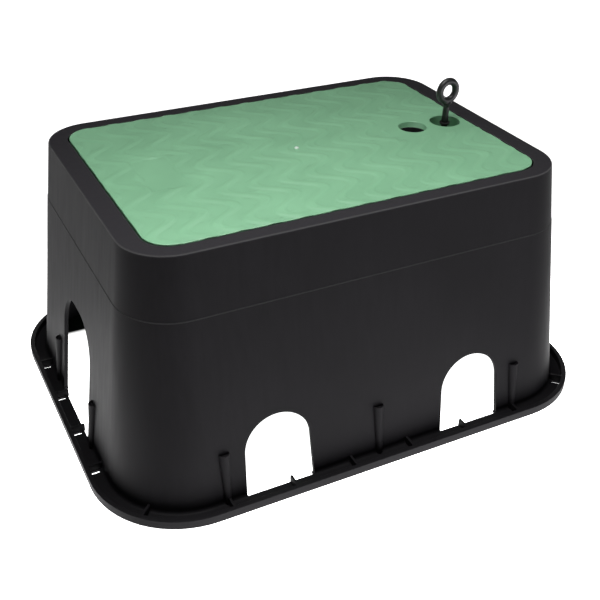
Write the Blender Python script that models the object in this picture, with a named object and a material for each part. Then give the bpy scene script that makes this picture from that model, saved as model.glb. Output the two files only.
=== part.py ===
"""Irrigation valve box: black drafted body, green waved lid, eye bolt, washer and clip nut.

Metres, +Z up, X along the long side. The origin is the centre of the underside, on the ground.
"""
from math import atan2, cos, pi, radians, sin, sqrt

import bmesh
import bpy
from mathutils import Matrix, Vector

MM = 0.001
GAP = 0.3 * MM               # air left between pieces that touch

# Body: overall sizes
BODY_HEIGHT = 305 * MM       # ground to the top of the rim
FLANGE_LENGTH = 656 * MM     # outline of the foot flange
FLANGE_WIDTH = 504 * MM
FLANGE_RADIUS = 113 * MM
RIM_END_SETBACK = 59 * MM    # rim's edge in from the flange's edge, at the ends
RIM_SIDE_SETBACK = 65.5 * MM
RIM_RADIUS = 56 * MM
RIM_END_BAND = 24.5 * MM     # flat top of the rim, from its edge to the lid's recess
RIM_SIDE_BAND = 18.5 * MM
FLANGE_REACH = 21 * MM       # flange edge out from the foot of the wall
WALL = 5 * MM
RIM_CHAMFER = 1.5 * MM

# Body: foot flange, a gutter with a raised lip
FLOOR = 3 * MM
LIP_HEIGHT = 11.5 * MM
LIP_WALL = 6 * MM
FOOT_FILLET = 3 * MM
RIB_WALL = 3 * MM
RIB_SINK = 1.5 * MM          # how far a rib runs into what it joins
FRONT_RIB_INSET = 20 * MM    # outermost rib in from where the round corner starts
FRONT_RIBS = 6
END_RIB_INSET = 25 * MM
END_RIBS = 4
SLOT_WIDTH = 4.5 * MM        # drain slot at the foot of a rib
SLOT_MARGIN = 0.8 * MM       # gutter floor left between a slot and what stands beside it

# Body: fine ledge round the wall, where two halves of the mould met
PARTING_HEIGHT = 233 * MM
PARTING_STEP = 0.5 * MM      # wall below it stands this much further out

# Body: arches for the pipes
ARCH_INSET = 85 * MM         # middle of a front or rear arch in from the round corner
ARCH_FOOT = 85 * MM
ARCH_SPRING_WIDTH = 79 * MM
ARCH_HEIGHT = 97.5 * MM
END_ARCH_FOOT = 110 * MM
END_ARCH_SPRING_WIDTH = 114 * MM
END_ARCH_HEIGHT = 152 * MM
END_ARCH_CORNER = 47 * MM
SILL_MARGIN = 1 * MM         # wall foot left at each side of an arch
ARCH_STEPS = 6               # facets in a quarter turn of an arch

# Body: round bosses on the wall
BOSS_RADIUS = 6.5 * MM
BOSS_FOOT_RADIUS = 4 * MM
BOSS_TOP = 68 * MM
BOSS_DISH_RADIUS = 3.2 * MM  # hollow in the top of a boss
BOSS_DISH_WALL = 1.2 * MM    # from the hollow to the front of the boss
BOSS_DISH_DEPTH = 2 * MM
FRONT_BOSS_MARGIN = 26.5 * MM    # outer boss's axis out from the side of the arch
FRONT_BOSSES = 3
END_BOSS_MARGIN = 18 * MM
END_BOSSES = 2

# Lid
LID_RADIUS = 31 * MM
LID_SKIRT = 12 * MM          # depth of the edge below the lid's top
LID_SKIRT_WALL = 4 * MM
LID_PLATE = 4.5 * MM
LID_CHAMFER = 1 * MM
LID_RIB_WALL = 3 * MM
LID_RIB_DEPTH = 22 * MM
LID_LONG_RIB_PITCH = 50 * MM
LID_LONG_RIBS = 5
LID_CROSS_RIB_PITCH = 61 * MM
LID_CROSS_RIBS = 7
LID_SLACK = 2 * MM           # gap all round the lid
LEDGE_WIDTH = 12 * MM        # shelf that the lid's edge stands on
LEDGE_WALL = 4 * MM

# Lid: wave relief
WAVE_PITCH = 36.6 * MM       # from one ridge to the next
WAVE_LENGTH = 72.5 * MM      # one full swing of a ridge
WAVE_SWING = 17 * MM         # to each side of its middle line
WAVE_WIDTH = 13 * MM
WAVE_RISE = 1 * MM
WAVE_RIDGES = 13
WAVE_STEPS = 6               # straight steps in a full swing
WAVE_INSET = 2.5 * MM        # bare edge outside the ridges
WAVE_SINK = 0.5 * MM
PAD_LENGTH = 118 * MM        # smooth pad round the two holes
PAD_WIDTH = 74 * MM
PANEL_LENGTH = 45 * MM       # plain marking panel
PANEL_WIDTH = 88 * MM
PANEL_INSET = 66.5 * MM      # middle of the panel in from the lid's left end
NUB_RADIUS = 3 * MM
NUB_RISE = 2.2 * MM

# Lid: lifting hole and bolt cup
HOLE_INSET = 76.5 * MM       # hole's axis in from the lid's right end
HOLE_RADIUS = 18 * MM
HOLE_COLLAR_WALL = 3.5 * MM
HOLE_DEPTH = 8 * MM          # foot of the collar below the lid's top
BOLT_INSET = 27 * MM         # bolt's axis in from the lid's right end
CUP_RADIUS = 19.3 * MM
CUP_WALL = 2.7 * MM
CUP_DEPTH = 30 * MM
CUP_FLOOR = 3 * MM
CUP_CLEARANCE = 1.5 * MM     # cup to the notch in the ledge

# Eye bolt, drawn unscrewed as far as the photograph shows
EYE_BASE = 23 * MM           # foot of the eye above the lid
EYE_RING_RADIUS = 12.65 * MM
EYE_ROD_RADIUS = 4.65 * MM
EYE_TURN = radians(4)
NECK_RADIUS = 3.9 * MM
SHANK_RADIUS = 4.6 * MM
THREAD_RADIUS = 4.4 * MM
BOLT_REACH = 53 * MM         # tip below the lid's top
TIP_LENGTH = 4 * MM
TIP_RADIUS = 2.6 * MM
BOLT_CLEARANCE = 0.6 * MM    # shank to the hole in the cup

# Washer held in a groove of the bolt
WASHER_RADIUS = 6.8 * MM
WASHER_THICKNESS = 3 * MM
WASHER_DROP = 4 * MM         # underside of the washer below the lid's top
WASHER_GROOVE = 0.9 * MM

# Lug and clip nut that the bolt screws into
LUG_DROP = 37 * MM           # top of the lug below the rim
LUG_THICKNESS = 8 * MM
LUG_WIDTH = 44 * MM
LUG_REACH = 17 * MM          # past the bolt, towards the middle
LUG_HOLE_CLEARANCE = 1.2 * MM
GUSSET_WALL = 4 * MM
GUSSET_INSET = 1 * MM        # in from the side of the lug
GUSSET_DEPTH = 34 * MM
CLIP_SHEET = 1.5 * MM
CLIP_WIDTH = 20 * MM
CLIP_GRIP = 14 * MM          # leaf past the bolt, towards the wall
NUT_RADIUS = 7.5 * MM
NUT_LENGTH = 7 * MM
NUT_CLEARANCE = 0.3 * MM

CORNER_STEPS = 8             # facets in a corner of the body and the lid
ROUND_STEPS = 32             # facets round a hole or a collar
SMALL_STEPS = 20             # facets round the bolt and the bosses
FEW_STEPS = 10               # facets round the eye's rod, a boss dish and the gate mark
EYE_STEPS = 24               # facets round the eye
NUT_SIDES = 6
FINE_ANGLE = radians(35)     # edges softer than this are shaded smooth

FOOT_LENGTH = FLANGE_LENGTH - 2 * FLANGE_REACH
FOOT_WIDTH = FLANGE_WIDTH - 2 * FLANGE_REACH
FOOT_RADIUS = FLANGE_RADIUS - FLANGE_REACH
FRONT_STRAIGHT = FOOT_LENGTH - 2 * FOOT_RADIUS
END_STRAIGHT = FOOT_WIDTH - 2 * FOOT_RADIUS
FRONT_RIB_PITCH = (FRONT_STRAIGHT - 2 * FRONT_RIB_INSET) / (FRONT_RIBS - 1)
END_RIB_PITCH = (END_STRAIGHT - 2 * END_RIB_INSET) / (END_RIBS - 1)
ARCH_CENTRE = FRONT_STRAIGHT / 2 - ARCH_INSET
FRONT_BOSS_PITCH = ARCH_CENTRE + ARCH_SPRING_WIDTH / 2 + FRONT_BOSS_MARGIN
END_BOSS_PITCH = END_ARCH_SPRING_WIDTH + 2 * END_BOSS_MARGIN
RIM_LENGTH = FLANGE_LENGTH - 2 * RIM_END_SETBACK
RIM_WIDTH = FLANGE_WIDTH - 2 * RIM_SIDE_SETBACK
RECESS_LENGTH = RIM_LENGTH - 2 * RIM_END_BAND
RECESS_WIDTH = RIM_WIDTH - 2 * RIM_SIDE_BAND
RECESS_RADIUS = LID_RADIUS + LID_SLACK
LID_LENGTH = RECESS_LENGTH - 2 * LID_SLACK
LID_WIDTH = RECESS_WIDTH - 2 * LID_SLACK
HOLE_X = LID_LENGTH / 2 - HOLE_INSET
BAY_START = 2 * LID_CROSS_RIB_PITCH    # rib where the bay round the hole and cup starts
BAY_SIDE = LID_LONG_RIB_PITCH          # ribs at the bay's two sides
BOLT_X = LID_LENGTH / 2 - BOLT_INSET
PANEL_X = PANEL_INSET - LID_LENGTH / 2
LEDGE_TOP = BODY_HEIGHT - LID_SKIRT - GAP
CUP_TOP_OF_FLOOR = BODY_HEIGHT - CUP_DEPTH
CUP_BASE = CUP_TOP_OF_FLOOR - CUP_FLOOR
CUP_OUTER = CUP_RADIUS + CUP_WALL
LUG_TOP = BODY_HEIGHT - LUG_DROP
LUG_BASE = LUG_TOP - LUG_THICKNESS


def material(name, colour, roughness, metallic=0.0):
    """A Principled material of one colour."""
    made = bpy.data.materials.new(name)
    made.use_nodes = True
    shader = made.node_tree.nodes["Principled BSDF"]
    shader.inputs["Base Color"].default_value = (*colour, 1.0)
    shader.inputs["Roughness"].default_value = roughness
    shader.inputs["Metallic"].default_value = metallic
    made.diffuse_color = (*colour, 1.0)
    return made


def new_object(name, bm, finish=None):
    """Turn a bmesh into an object with smooth round faces and outward normals."""
    bmesh.ops.recalc_face_normals(bm, faces=bm.faces)
    mesh = bpy.data.meshes.new(name)
    bm.to_mesh(mesh)
    bm.free()
    mesh.shade_smooth()
    mesh.set_sharp_from_angle(angle=FINE_ANGLE)
    made = bpy.data.objects.new(name, mesh)
    bpy.context.scene.collection.objects.link(made)
    if finish:
        mesh.materials.append(finish)
    return made


def guide_object(name, bm):
    """A shape that only cuts or adds to another one."""
    made = new_object(name, bm)
    made.hide_render = True
    made.display_type = "WIRE"
    return made


def combine(target, operand, operation):
    """Add a live Boolean of operand to target."""
    modifier = target.modifiers.new(operand.name, "BOOLEAN")
    modifier.operation = operation
    modifier.object = operand


def rounded_outline(length, width, radius, z, centre=(0.0, 0.0), steps=CORNER_STEPS):
    """Points of a rectangle with round corners, anticlockwise from the lower right corner."""
    points = []
    for quarter, (sx, sy) in enumerate(((1, -1), (1, 1), (-1, 1), (-1, -1))):
        cx = centre[0] + sx * (length / 2 - radius)
        cy = centre[1] + sy * (width / 2 - radius)
        for step in range(steps + 1):
            angle = (quarter - 1 + step / steps) * pi / 2
            points.append(Vector((cx + radius * cos(angle), cy + radius * sin(angle), z)))
    return points


def wall_outline(z, inset=0.0):
    """Outline of the sloping wall's outside at height z, moved in by inset."""
    share = (z - FLOOR) / (BODY_HEIGHT - FLOOR)
    length = FOOT_LENGTH + (RIM_LENGTH - FOOT_LENGTH) * share
    width = FOOT_WIDTH + (RIM_WIDTH - FOOT_WIDTH) * share
    radius = FOOT_RADIUS + (RIM_RADIUS - FOOT_RADIUS) * share
    return rounded_outline(length - 2 * inset, width - 2 * inset, radius - inset, z)


def flange_outline(z, inset=0.0):
    """Outline of the foot flange, moved in by inset."""
    return rounded_outline(
        FLANGE_LENGTH - 2 * inset, FLANGE_WIDTH - 2 * inset, FLANGE_RADIUS - inset, z)


def recess_outline(z, inset=0.0):
    """Outline of the recess that holds the lid, moved in by inset."""
    return rounded_outline(
        RECESS_LENGTH - 2 * inset, RECESS_WIDTH - 2 * inset, RECESS_RADIUS - inset, z)


def lid_outline(z, inset=0.0):
    """Outline of the lid, moved in by inset."""
    return rounded_outline(
        LID_LENGTH - 2 * inset, LID_WIDTH - 2 * inset, LID_RADIUS - inset, z)


def skin_rings(bm, rings, closed):
    """Skin a row of rings; a row that is not closed gets a cap at each end."""
    loops = [[bm.verts.new(point) for point in ring] for ring in rings]
    pairs = list(zip(loops, loops[1:]))
    if closed:
        pairs.append((loops[-1], loops[0]))
    for low, high in pairs:
        for i in range(len(low)):
            bm.faces.new((low[i - 1], low[i], high[i], high[i - 1]))
    if not closed:
        bm.faces.new(loops[0])
        bm.faces.new(loops[-1])


def absorb(bm, piece, matrix):
    """Move a bmesh by matrix and add it to another one."""
    bmesh.ops.transform(piece, matrix=matrix, verts=piece.verts)
    carrier = bpy.data.meshes.new("carrier")
    piece.to_mesh(carrier)
    piece.free()
    bm.from_mesh(carrier)
    bpy.data.meshes.remove(carrier)


def add_prism(bm, points, offset):
    """Fill an outline and extrude it by offset."""
    face = bm.faces.new([bm.verts.new(point) for point in points])
    grown = bmesh.ops.extrude_face_region(bm, geom=[face], use_keep_orig=True)
    moved = [item for item in grown["geom"] if isinstance(item, bmesh.types.BMVert)]
    bmesh.ops.translate(bm, verts=moved, vec=offset)


def add_block(bm, low, high):
    """A rectangular block between two corners."""
    size = Vector(high) - Vector(low)
    place = Matrix.Translation((Vector(low) + Vector(high)) / 2) @ Matrix.Diagonal((*size, 1.0))
    bmesh.ops.create_cube(bm, size=1.0, matrix=place)


def add_cylinder(bm, radius, low, high, centre, steps=ROUND_STEPS):
    """An upright cylinder from height low to height high."""
    place = Matrix.Translation((centre[0], centre[1], (low + high) / 2))
    bmesh.ops.create_cone(bm, cap_ends=True, segments=steps, radius1=radius, radius2=radius,
                          depth=high - low, matrix=place)


def add_turned(bm, profile, steps):
    """Turn a profile of (radius, height) about the Z axis and close both ends."""
    verts = [bm.verts.new((radius, 0.0, height)) for radius, height in profile]
    edges = [bm.edges.new(pair) for pair in zip(verts, verts[1:])]
    bmesh.ops.spin(bm, geom=verts + edges, cent=(0, 0, 0), axis=(0, 0, 1), angle=2 * pi,
                   steps=steps, use_merge=True)
    bmesh.ops.holes_fill(bm, edges=[edge for edge in bm.edges if edge.is_boundary], sides=0)


def spread(count, pitch):
    """Places of count things at a pitch, centred on zero."""
    return [(i - (count - 1) / 2) * pitch for i in range(count)]


def body_shell(finish):
    """The moulded shell: flange, sloping wall, rim, recess and ledge as one closed section."""
    foot_out = FLANGE_REACH - FOOT_FILLET
    fillet_turn = FOOT_FILLET * (1 - sqrt(0.5))
    under_rim = BODY_HEIGHT - WALL
    ledge_base = LEDGE_TOP - LEDGE_WALL
    rings = [
        flange_outline(0.0),
        flange_outline(LIP_HEIGHT),
        flange_outline(LIP_HEIGHT, LIP_WALL),
        flange_outline(FLOOR, LIP_WALL),
        flange_outline(FLOOR, foot_out),
        flange_outline(FLOOR + fillet_turn, FLANGE_REACH - fillet_turn),
        wall_outline(FLOOR + FOOT_FILLET),
        wall_outline(PARTING_HEIGHT - PARTING_STEP, -PARTING_STEP),
        wall_outline(PARTING_HEIGHT),
        wall_outline(BODY_HEIGHT - RIM_CHAMFER),
        wall_outline(BODY_HEIGHT, RIM_CHAMFER),
        recess_outline(BODY_HEIGHT),
        recess_outline(LEDGE_TOP),
        recess_outline(LEDGE_TOP, LEDGE_WIDTH),
        recess_outline(ledge_base, LEDGE_WIDTH),
        recess_outline(ledge_base, -LEDGE_WALL),
        recess_outline(under_rim, -LEDGE_WALL),
        wall_outline(under_rim, WALL),
        wall_outline(FLOOR, WALL),
        flange_outline(0.0, FLANGE_REACH + WALL),
    ]
    bm = bmesh.new()
    skin_rings(bm, rings, closed=True)
    return new_object("box_body", bm, finish)


def arch_outline(foot_width, spring_width, height, corner):
    """Points (across, up) of an arch: sloping sides and round shoulders of radius corner."""
    half = spring_width / 2
    right = [(foot_width / 2, FLOOR)]
    for step in range(ARCH_STEPS + 1):
        angle = step / ARCH_STEPS * pi / 2
        right.append((half - corner + corner * cos(angle), height - corner + corner * sin(angle)))
    left = [(-across, up) for across, up in reversed(right)]
    meets_in_a_point = half - corner < GAP
    return right + (left[1:] if meets_in_a_point else left)


def arch_places():
    """Every arch as (distance along its side, half the foot's width, turn of the side)."""
    places = []
    for turn in (0, pi):
        for along in (-ARCH_CENTRE, ARCH_CENTRE):
            places.append((along, ARCH_FOOT / 2, FOOT_WIDTH / 2, turn))
    for turn in (pi / 2, -pi / 2):
        places.append((0, END_ARCH_FOOT / 2, FOOT_LENGTH / 2, turn))
    return places


def arch_cutters():
    """Six prisms that open the wall above the flange's floor."""
    bm = bmesh.new()
    side = arch_outline(ARCH_FOOT, ARCH_SPRING_WIDTH, ARCH_HEIGHT, ARCH_SPRING_WIDTH / 2)
    end = arch_outline(END_ARCH_FOOT, END_ARCH_SPRING_WIDTH, END_ARCH_HEIGHT, END_ARCH_CORNER)
    reach = FLANGE_REACH - LIP_WALL
    depth = reach + 2 * WALL + (FOOT_WIDTH - RIM_WIDTH) / 2
    for along, half, wall_y, turn in arch_places():
        outline = end if half == END_ARCH_FOOT / 2 else side
        prism = bmesh.new()
        add_prism(prism, [Vector((along + across, -wall_y - reach, up)) for across, up in outline],
                  Vector((0, depth, 0)))
        absorb(bm, prism, Matrix.Rotation(turn, 4, "Z"))
    return guide_object("arch_cutters", bm)


def sill_cutters():
    """Blocks that take the wall's foot out of each arch, down to the ground."""
    bm = bmesh.new()
    for along, half, wall_y, turn in arch_places():
        block = bmesh.new()
        reach = half - SILL_MARGIN
        add_block(block, (along - reach, -wall_y, -MM),
                  (along + reach, 2 * WALL - wall_y, FLOOR + MM))
        absorb(bm, block, Matrix.Rotation(turn, 4, "Z"))
    return guide_object("sill_cutters", bm)


def side_frame(turn, along, edge):
    """Frame on the flange's edge, with Y inwards and Z up."""
    return Matrix.Rotation(turn, 4, "Z") @ Matrix.Translation((along, -edge, 0))


def corner_frame(sx, sy):
    """Frame on the middle of a round corner's edge, with Y inwards and Z up."""
    centre = (sx * (FLANGE_LENGTH / 2 - FLANGE_RADIUS), sy * (FLANGE_WIDTH / 2 - FLANGE_RADIUS), 0)
    return Matrix.Translation(centre) @ side_frame(atan2(sy, sx) + pi / 2, 0, FLANGE_RADIUS)


def rib_frames():
    """Every gutter rib as (its frame, the side that its drain slot is on or 0)."""
    frames = []
    for turn in (0, pi):
        for along in spread(FRONT_RIBS, FRONT_RIB_PITCH):
            frames.append((side_frame(turn, along, FLANGE_WIDTH / 2), 0))
    for turn in (pi / 2, -pi / 2):
        for along in spread(END_RIBS, END_RIB_PITCH):
            frames.append((side_frame(turn, along, FLANGE_LENGTH / 2), 1))
    for sx, sy, side in ((1, -1, -1), (-1, 1, -1), (1, 1, 0), (-1, -1, 0)):
        frames.append((corner_frame(sx, sy), side))
    return frames


def flange_ribs():
    """Plates that cross the gutter, on all four sides and at the corners."""
    bm = bmesh.new()
    for frame, _ in rib_frames():
        plate = bmesh.new()
        add_block(plate, (-RIB_WALL / 2, LIP_WALL - RIB_SINK, FLOOR - RIB_SINK),
                  (RIB_WALL / 2, FLANGE_REACH + RIB_SINK, LIP_HEIGHT))
        absorb(bm, plate, frame)
    return bm


def rib_slots():
    """Drain slots through the gutter floor, along one side of the ribs at the ends."""
    bm = bmesh.new()
    near = RIB_WALL / 2 + SLOT_MARGIN
    for frame, side in rib_frames():
        if not side:
            continue
        slot = bmesh.new()
        low_x, high_x = sorted((side * near, side * (near + SLOT_WIDTH)))
        add_block(slot, (low_x, LIP_WALL + SLOT_MARGIN, -MM),
                  (high_x, FLANGE_REACH - FOOT_FILLET - SLOT_MARGIN, FLOOR + MM))
        absorb(bm, slot, frame)
    return bm


def wall_line(z, size_low, size_high):
    """Half of a wall's outer distance at height z, between its foot and its rim sizes."""
    share = (z - FLOOR) / (BODY_HEIGHT - FLOOR)
    return (size_low + (size_high - size_low) * share) / 2


def add_boss(bm, along, size_low, size_high, turn):
    """A half-round boss that tapers down the sloping wall to the gutter's floor."""
    low = FLOOR - RIB_SINK
    middle = (low + BOSS_TOP) / 2
    slope = (size_low - size_high) / 2 / (BODY_HEIGHT - FLOOR)
    lean = Matrix.Identity(4)
    lean[1][2] = slope
    boss = bmesh.new()
    place = Matrix.Translation((along, -wall_line(middle, size_low, size_high), middle)) @ lean
    bmesh.ops.create_cone(boss, cap_ends=True, segments=SMALL_STEPS, radius1=BOSS_FOOT_RADIUS,
                          radius2=BOSS_RADIUS, depth=BOSS_TOP - low, matrix=place)
    in_wall = (along, WALL / 2 - wall_line(BOSS_TOP, size_low, size_high), BOSS_TOP)
    bmesh.ops.bisect_plane(boss, geom=boss.verts[:] + boss.edges[:] + boss.faces[:],
                           plane_co=in_wall, plane_no=(0, 1, -slope), clear_outer=True)
    bmesh.ops.holes_fill(boss, edges=[edge for edge in boss.edges if edge.is_boundary], sides=0)
    absorb(bm, boss, Matrix.Rotation(turn, 4, "Z"))


def boss_places():
    """Every boss as (distance along its side, the side's foot and rim sizes, turn of the side)."""
    places = []
    for turn in (0, pi):
        for along in spread(FRONT_BOSSES, FRONT_BOSS_PITCH):
            places.append((along, FOOT_WIDTH, RIM_WIDTH, turn))
    for turn in (pi / 2, -pi / 2):
        for along in spread(END_BOSSES, END_BOSS_PITCH):
            places.append((along, FOOT_LENGTH, RIM_LENGTH, turn))
    return places


def wall_bosses():
    """Every boss; the outer front ones grow out of a rib, so they are joined after the ribs."""
    bm = bmesh.new()
    for place in boss_places():
        add_boss(bm, *place)
    return guide_object("wall_bosses", bm)


def lug_wall_x(z):
    """Middle of the end wall's thickness at height z."""
    return wall_line(z, FOOT_LENGTH, RIM_LENGTH) - WALL / 2


def lug_shelf():
    """Shelf on the inside of the end wall, under the bolt cup."""
    bm = bmesh.new()
    add_block(bm, (BOLT_X - LUG_REACH, -LUG_WIDTH / 2, LUG_BASE),
              (lug_wall_x(LUG_TOP), LUG_WIDTH / 2, LUG_TOP))
    return guide_object("lug_shelf", bm)


def lug_gussets():
    """Two triangular webs under the shelf."""
    bm = bmesh.new()
    for side in (-1, 1):
        y = side * (LUG_WIDTH / 2 - GUSSET_INSET - GUSSET_WALL / 2) - GUSSET_WALL / 2
        corners = ((BOLT_X - LUG_REACH + GUSSET_WALL, LUG_BASE + RIB_SINK),
                   (lug_wall_x(LUG_BASE), LUG_BASE + RIB_SINK),
                   (lug_wall_x(LUG_BASE - GUSSET_DEPTH), LUG_BASE - GUSSET_DEPTH))
        add_prism(bm, [Vector((x, y, z)) for x, z in corners], Vector((0, GUSSET_WALL, 0)))
    return guide_object("lug_gussets", bm)


def body_holes():
    """Rib slots, dishes in the boss tops, notch for the bolt cup and the hole in the lug."""
    bm = rib_slots()
    for along, size_low, size_high, turn in boss_places():
        out = BOSS_RADIUS - BOSS_DISH_WALL - BOSS_DISH_RADIUS
        distance = wall_line(BOSS_TOP, size_low, size_high) + out
        centre = Matrix.Rotation(turn, 3, "Z") @ Vector((along, -distance, 0))
        add_cylinder(bm, BOSS_DISH_RADIUS, BOSS_TOP - BOSS_DISH_DEPTH, BOSS_TOP + MM,
                     centre, FEW_STEPS)
    add_cylinder(bm, CUP_OUTER + CUP_CLEARANCE, LEDGE_TOP - LEDGE_WALL - MM, LEDGE_TOP + MM,
                 (BOLT_X, 0))
    add_cylinder(bm, THREAD_RADIUS + LUG_HOLE_CLEARANCE, LUG_BASE - MM, LUG_TOP + MM,
                 (BOLT_X, 0), SMALL_STEPS)
    return guide_object("body_holes", bm)


def make_body(finish):
    """The whole body moulding."""
    body = body_shell(finish)
    combine(body, arch_cutters(), "DIFFERENCE")
    combine(body, sill_cutters(), "DIFFERENCE")
    combine(body, guide_object("gutter_ribs", flange_ribs()), "UNION")
    combine(body, wall_bosses(), "UNION")
    combine(body, lug_shelf(), "UNION")
    combine(body, lug_gussets(), "UNION")
    combine(body, body_holes(), "DIFFERENCE")
    return body


def lid_shell(finish):
    """Plate with a chamfered edge and a skirt, hollow below."""
    skirt_foot = BODY_HEIGHT - LID_SKIRT
    plate_base = BODY_HEIGHT - LID_PLATE
    rings = [
        lid_outline(BODY_HEIGHT, LID_CHAMFER),
        lid_outline(BODY_HEIGHT - LID_CHAMFER),
        lid_outline(skirt_foot),
        lid_outline(skirt_foot, LID_SKIRT_WALL),
        lid_outline(plate_base, LID_SKIRT_WALL),
    ]
    bm = bmesh.new()
    skin_rings(bm, rings, closed=False)
    return new_object("lid", bm, finish)


def lid_rib_span():
    """Half length and half width of the rib grid, clear of the ledge."""
    clear = LEDGE_WIDTH + LID_SLACK
    return RECESS_LENGTH / 2 - clear, RECESS_WIDTH / 2 - clear


def lid_long_ribs():
    """Ribs along the lid's underside; those between the bay's sides stop where it starts."""
    bm = bmesh.new()
    half_length, _ = lid_rib_span()
    low, high = BODY_HEIGHT - LID_RIB_DEPTH, BODY_HEIGHT - LID_PLATE + RIB_SINK
    for y in spread(LID_LONG_RIBS, LID_LONG_RIB_PITCH):
        stop = BAY_START if abs(y) < BAY_SIDE / 2 else half_length
        add_block(bm, (-half_length, y - LID_RIB_WALL / 2, low),
                  (stop, y + LID_RIB_WALL / 2, high))
    return guide_object("lid_long_ribs", bm)


def lid_cross_ribs():
    """Ribs across the lid's underside, open between the bay's two sides."""
    bm = bmesh.new()
    _, half_width = lid_rib_span()
    low, high = BODY_HEIGHT - LID_RIB_DEPTH, BODY_HEIGHT - LID_PLATE + RIB_SINK
    for x in spread(LID_CROSS_RIBS, LID_CROSS_RIB_PITCH):
        spans = [(-half_width, half_width)]
        if x > BAY_START + LID_RIB_WALL:
            spans = [(-half_width, -BAY_SIDE), (BAY_SIDE, half_width)]
        for start, stop in spans:
            add_block(bm, (x - LID_RIB_WALL / 2, start, low), (x + LID_RIB_WALL / 2, stop, high))
    return guide_object("lid_cross_ribs", bm)


def wave_side(middle, offset):
    """One side of a ridge, from front to rear, as points (x, y)."""
    half = LID_WIDTH / 2
    count = round(2 * half / WAVE_LENGTH * WAVE_STEPS)
    points = []
    for step in range(count + 1):
        y = -half + 2 * half * step / count
        points.append((middle + offset - WAVE_SWING * cos(2 * pi * y / WAVE_LENGTH), y))
    return points


def wave_ridges():
    """Raised bands that snake across the lid, kept inside its outline."""
    bm = bmesh.new()
    base = BODY_HEIGHT - WAVE_SINK
    for middle in spread(WAVE_RIDGES, WAVE_PITCH):
        outline = wave_side(middle, WAVE_WIDTH / 2) + wave_side(middle, -WAVE_WIDTH / 2)[::-1]
        add_prism(bm, [Vector((x, y, base)) for x, y in outline],
                  Vector((0, 0, WAVE_SINK + WAVE_RISE)))
    ridges = guide_object("wave_ridges", bm)
    combine(ridges, wave_limit(), "INTERSECT")
    combine(ridges, smooth_areas(), "DIFFERENCE")
    return ridges


def wave_limit():
    """Prism of the lid's outline that the ridges stay inside."""
    bm = bmesh.new()
    low = BODY_HEIGHT - LID_PLATE / 2
    add_prism(bm, lid_outline(low, WAVE_INSET), Vector((0, 0, LID_PLATE)))
    return guide_object("wave_limit", bm)


def smooth_areas():
    """Prisms of the pad round the holes and of the marking panel, where no ridge runs."""
    bm = bmesh.new()
    low = BODY_HEIGHT - LID_PLATE / 2
    pad_x = (LID_LENGTH - PAD_LENGTH) / 2
    add_prism(bm, rounded_outline(PAD_LENGTH, PAD_WIDTH, HOLE_RADIUS, low, (pad_x, 0)),
              Vector((0, 0, LID_PLATE)))
    add_block(bm, (PANEL_X - PANEL_LENGTH / 2, -PANEL_WIDTH / 2, low),
              (PANEL_X + PANEL_LENGTH / 2, PANEL_WIDTH / 2, low + LID_PLATE))
    return guide_object("smooth_areas", bm)


def lid_collars():
    """Collar of the lifting hole, outside of the bolt cup, and the gate mark in the middle."""
    bm = bmesh.new()
    high = BODY_HEIGHT - LID_PLATE / 2
    add_cylinder(bm, HOLE_RADIUS + HOLE_COLLAR_WALL, BODY_HEIGHT - HOLE_DEPTH, high, (HOLE_X, 0))
    add_cylinder(bm, CUP_OUTER, CUP_BASE, high, (BOLT_X, 0))
    add_cylinder(bm, NUB_RADIUS, high, BODY_HEIGHT + NUB_RISE, (0, 0), FEW_STEPS)
    return guide_object("lid_collars", bm)


def lid_holes():
    """Lifting hole, inside of the bolt cup, and the hole for the shank."""
    bm = bmesh.new()
    over = BODY_HEIGHT + LID_PLATE
    add_cylinder(bm, HOLE_RADIUS, BODY_HEIGHT - HOLE_DEPTH - MM, over, (HOLE_X, 0))
    hole = SHANK_RADIUS + BOLT_CLEARANCE
    cup = bmesh.new()
    add_turned(cup, [(hole, CUP_BASE - MM), (hole, CUP_TOP_OF_FLOOR),
                     (CUP_RADIUS, CUP_TOP_OF_FLOOR), (CUP_RADIUS, over)], ROUND_STEPS)
    absorb(bm, cup, Matrix.Translation((BOLT_X, 0, 0)))
    return guide_object("lid_holes", bm)


def make_lid(finish):
    """The whole lid moulding."""
    lid = lid_shell(finish)
    combine(lid, wave_ridges(), "UNION")
    combine(lid, lid_long_ribs(), "UNION")
    combine(lid, lid_cross_ribs(), "UNION")
    combine(lid, lid_collars(), "UNION")
    combine(lid, lid_holes(), "DIFFERENCE")
    return lid


def axis_empty():
    """Empty on the bolt's axis at the lid's top, which carries the bolt and its washer."""
    axis = bpy.data.objects.new("bolt_axis", None)
    axis.location = (BOLT_X, 0, BODY_HEIGHT)
    bpy.context.scene.collection.objects.link(axis)
    return axis


def make_bolt(finish, axis):
    """Eye bolt: ring, flared shank, washer groove and plain tip, in one moulding."""
    groove_low = -WASHER_DROP - GAP
    groove_high = groove_low + WASHER_THICKNESS + 2 * GAP
    groove_radius = THREAD_RADIUS - WASHER_GROOVE
    bm = bmesh.new()
    add_turned(bm, [
        (TIP_RADIUS, -BOLT_REACH),
        (THREAD_RADIUS, -BOLT_REACH + TIP_LENGTH),
        (THREAD_RADIUS, groove_low),
        (groove_radius, groove_low),
        (groove_radius, groove_high),
        (SHANK_RADIUS, groove_high),
        (NECK_RADIUS, EYE_BASE - NECK_RADIUS),
        (SHANK_RADIUS + NECK_RADIUS / 2, EYE_BASE + EYE_ROD_RADIUS / 2),
        (NECK_RADIUS, EYE_BASE + EYE_ROD_RADIUS),
    ], SMALL_STEPS)
    bolt = new_object("eye_bolt", bm, finish)
    bolt.parent = axis
    ring = eye_ring()
    ring.parent = axis
    combine(bolt, ring, "UNION")
    return bolt


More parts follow.
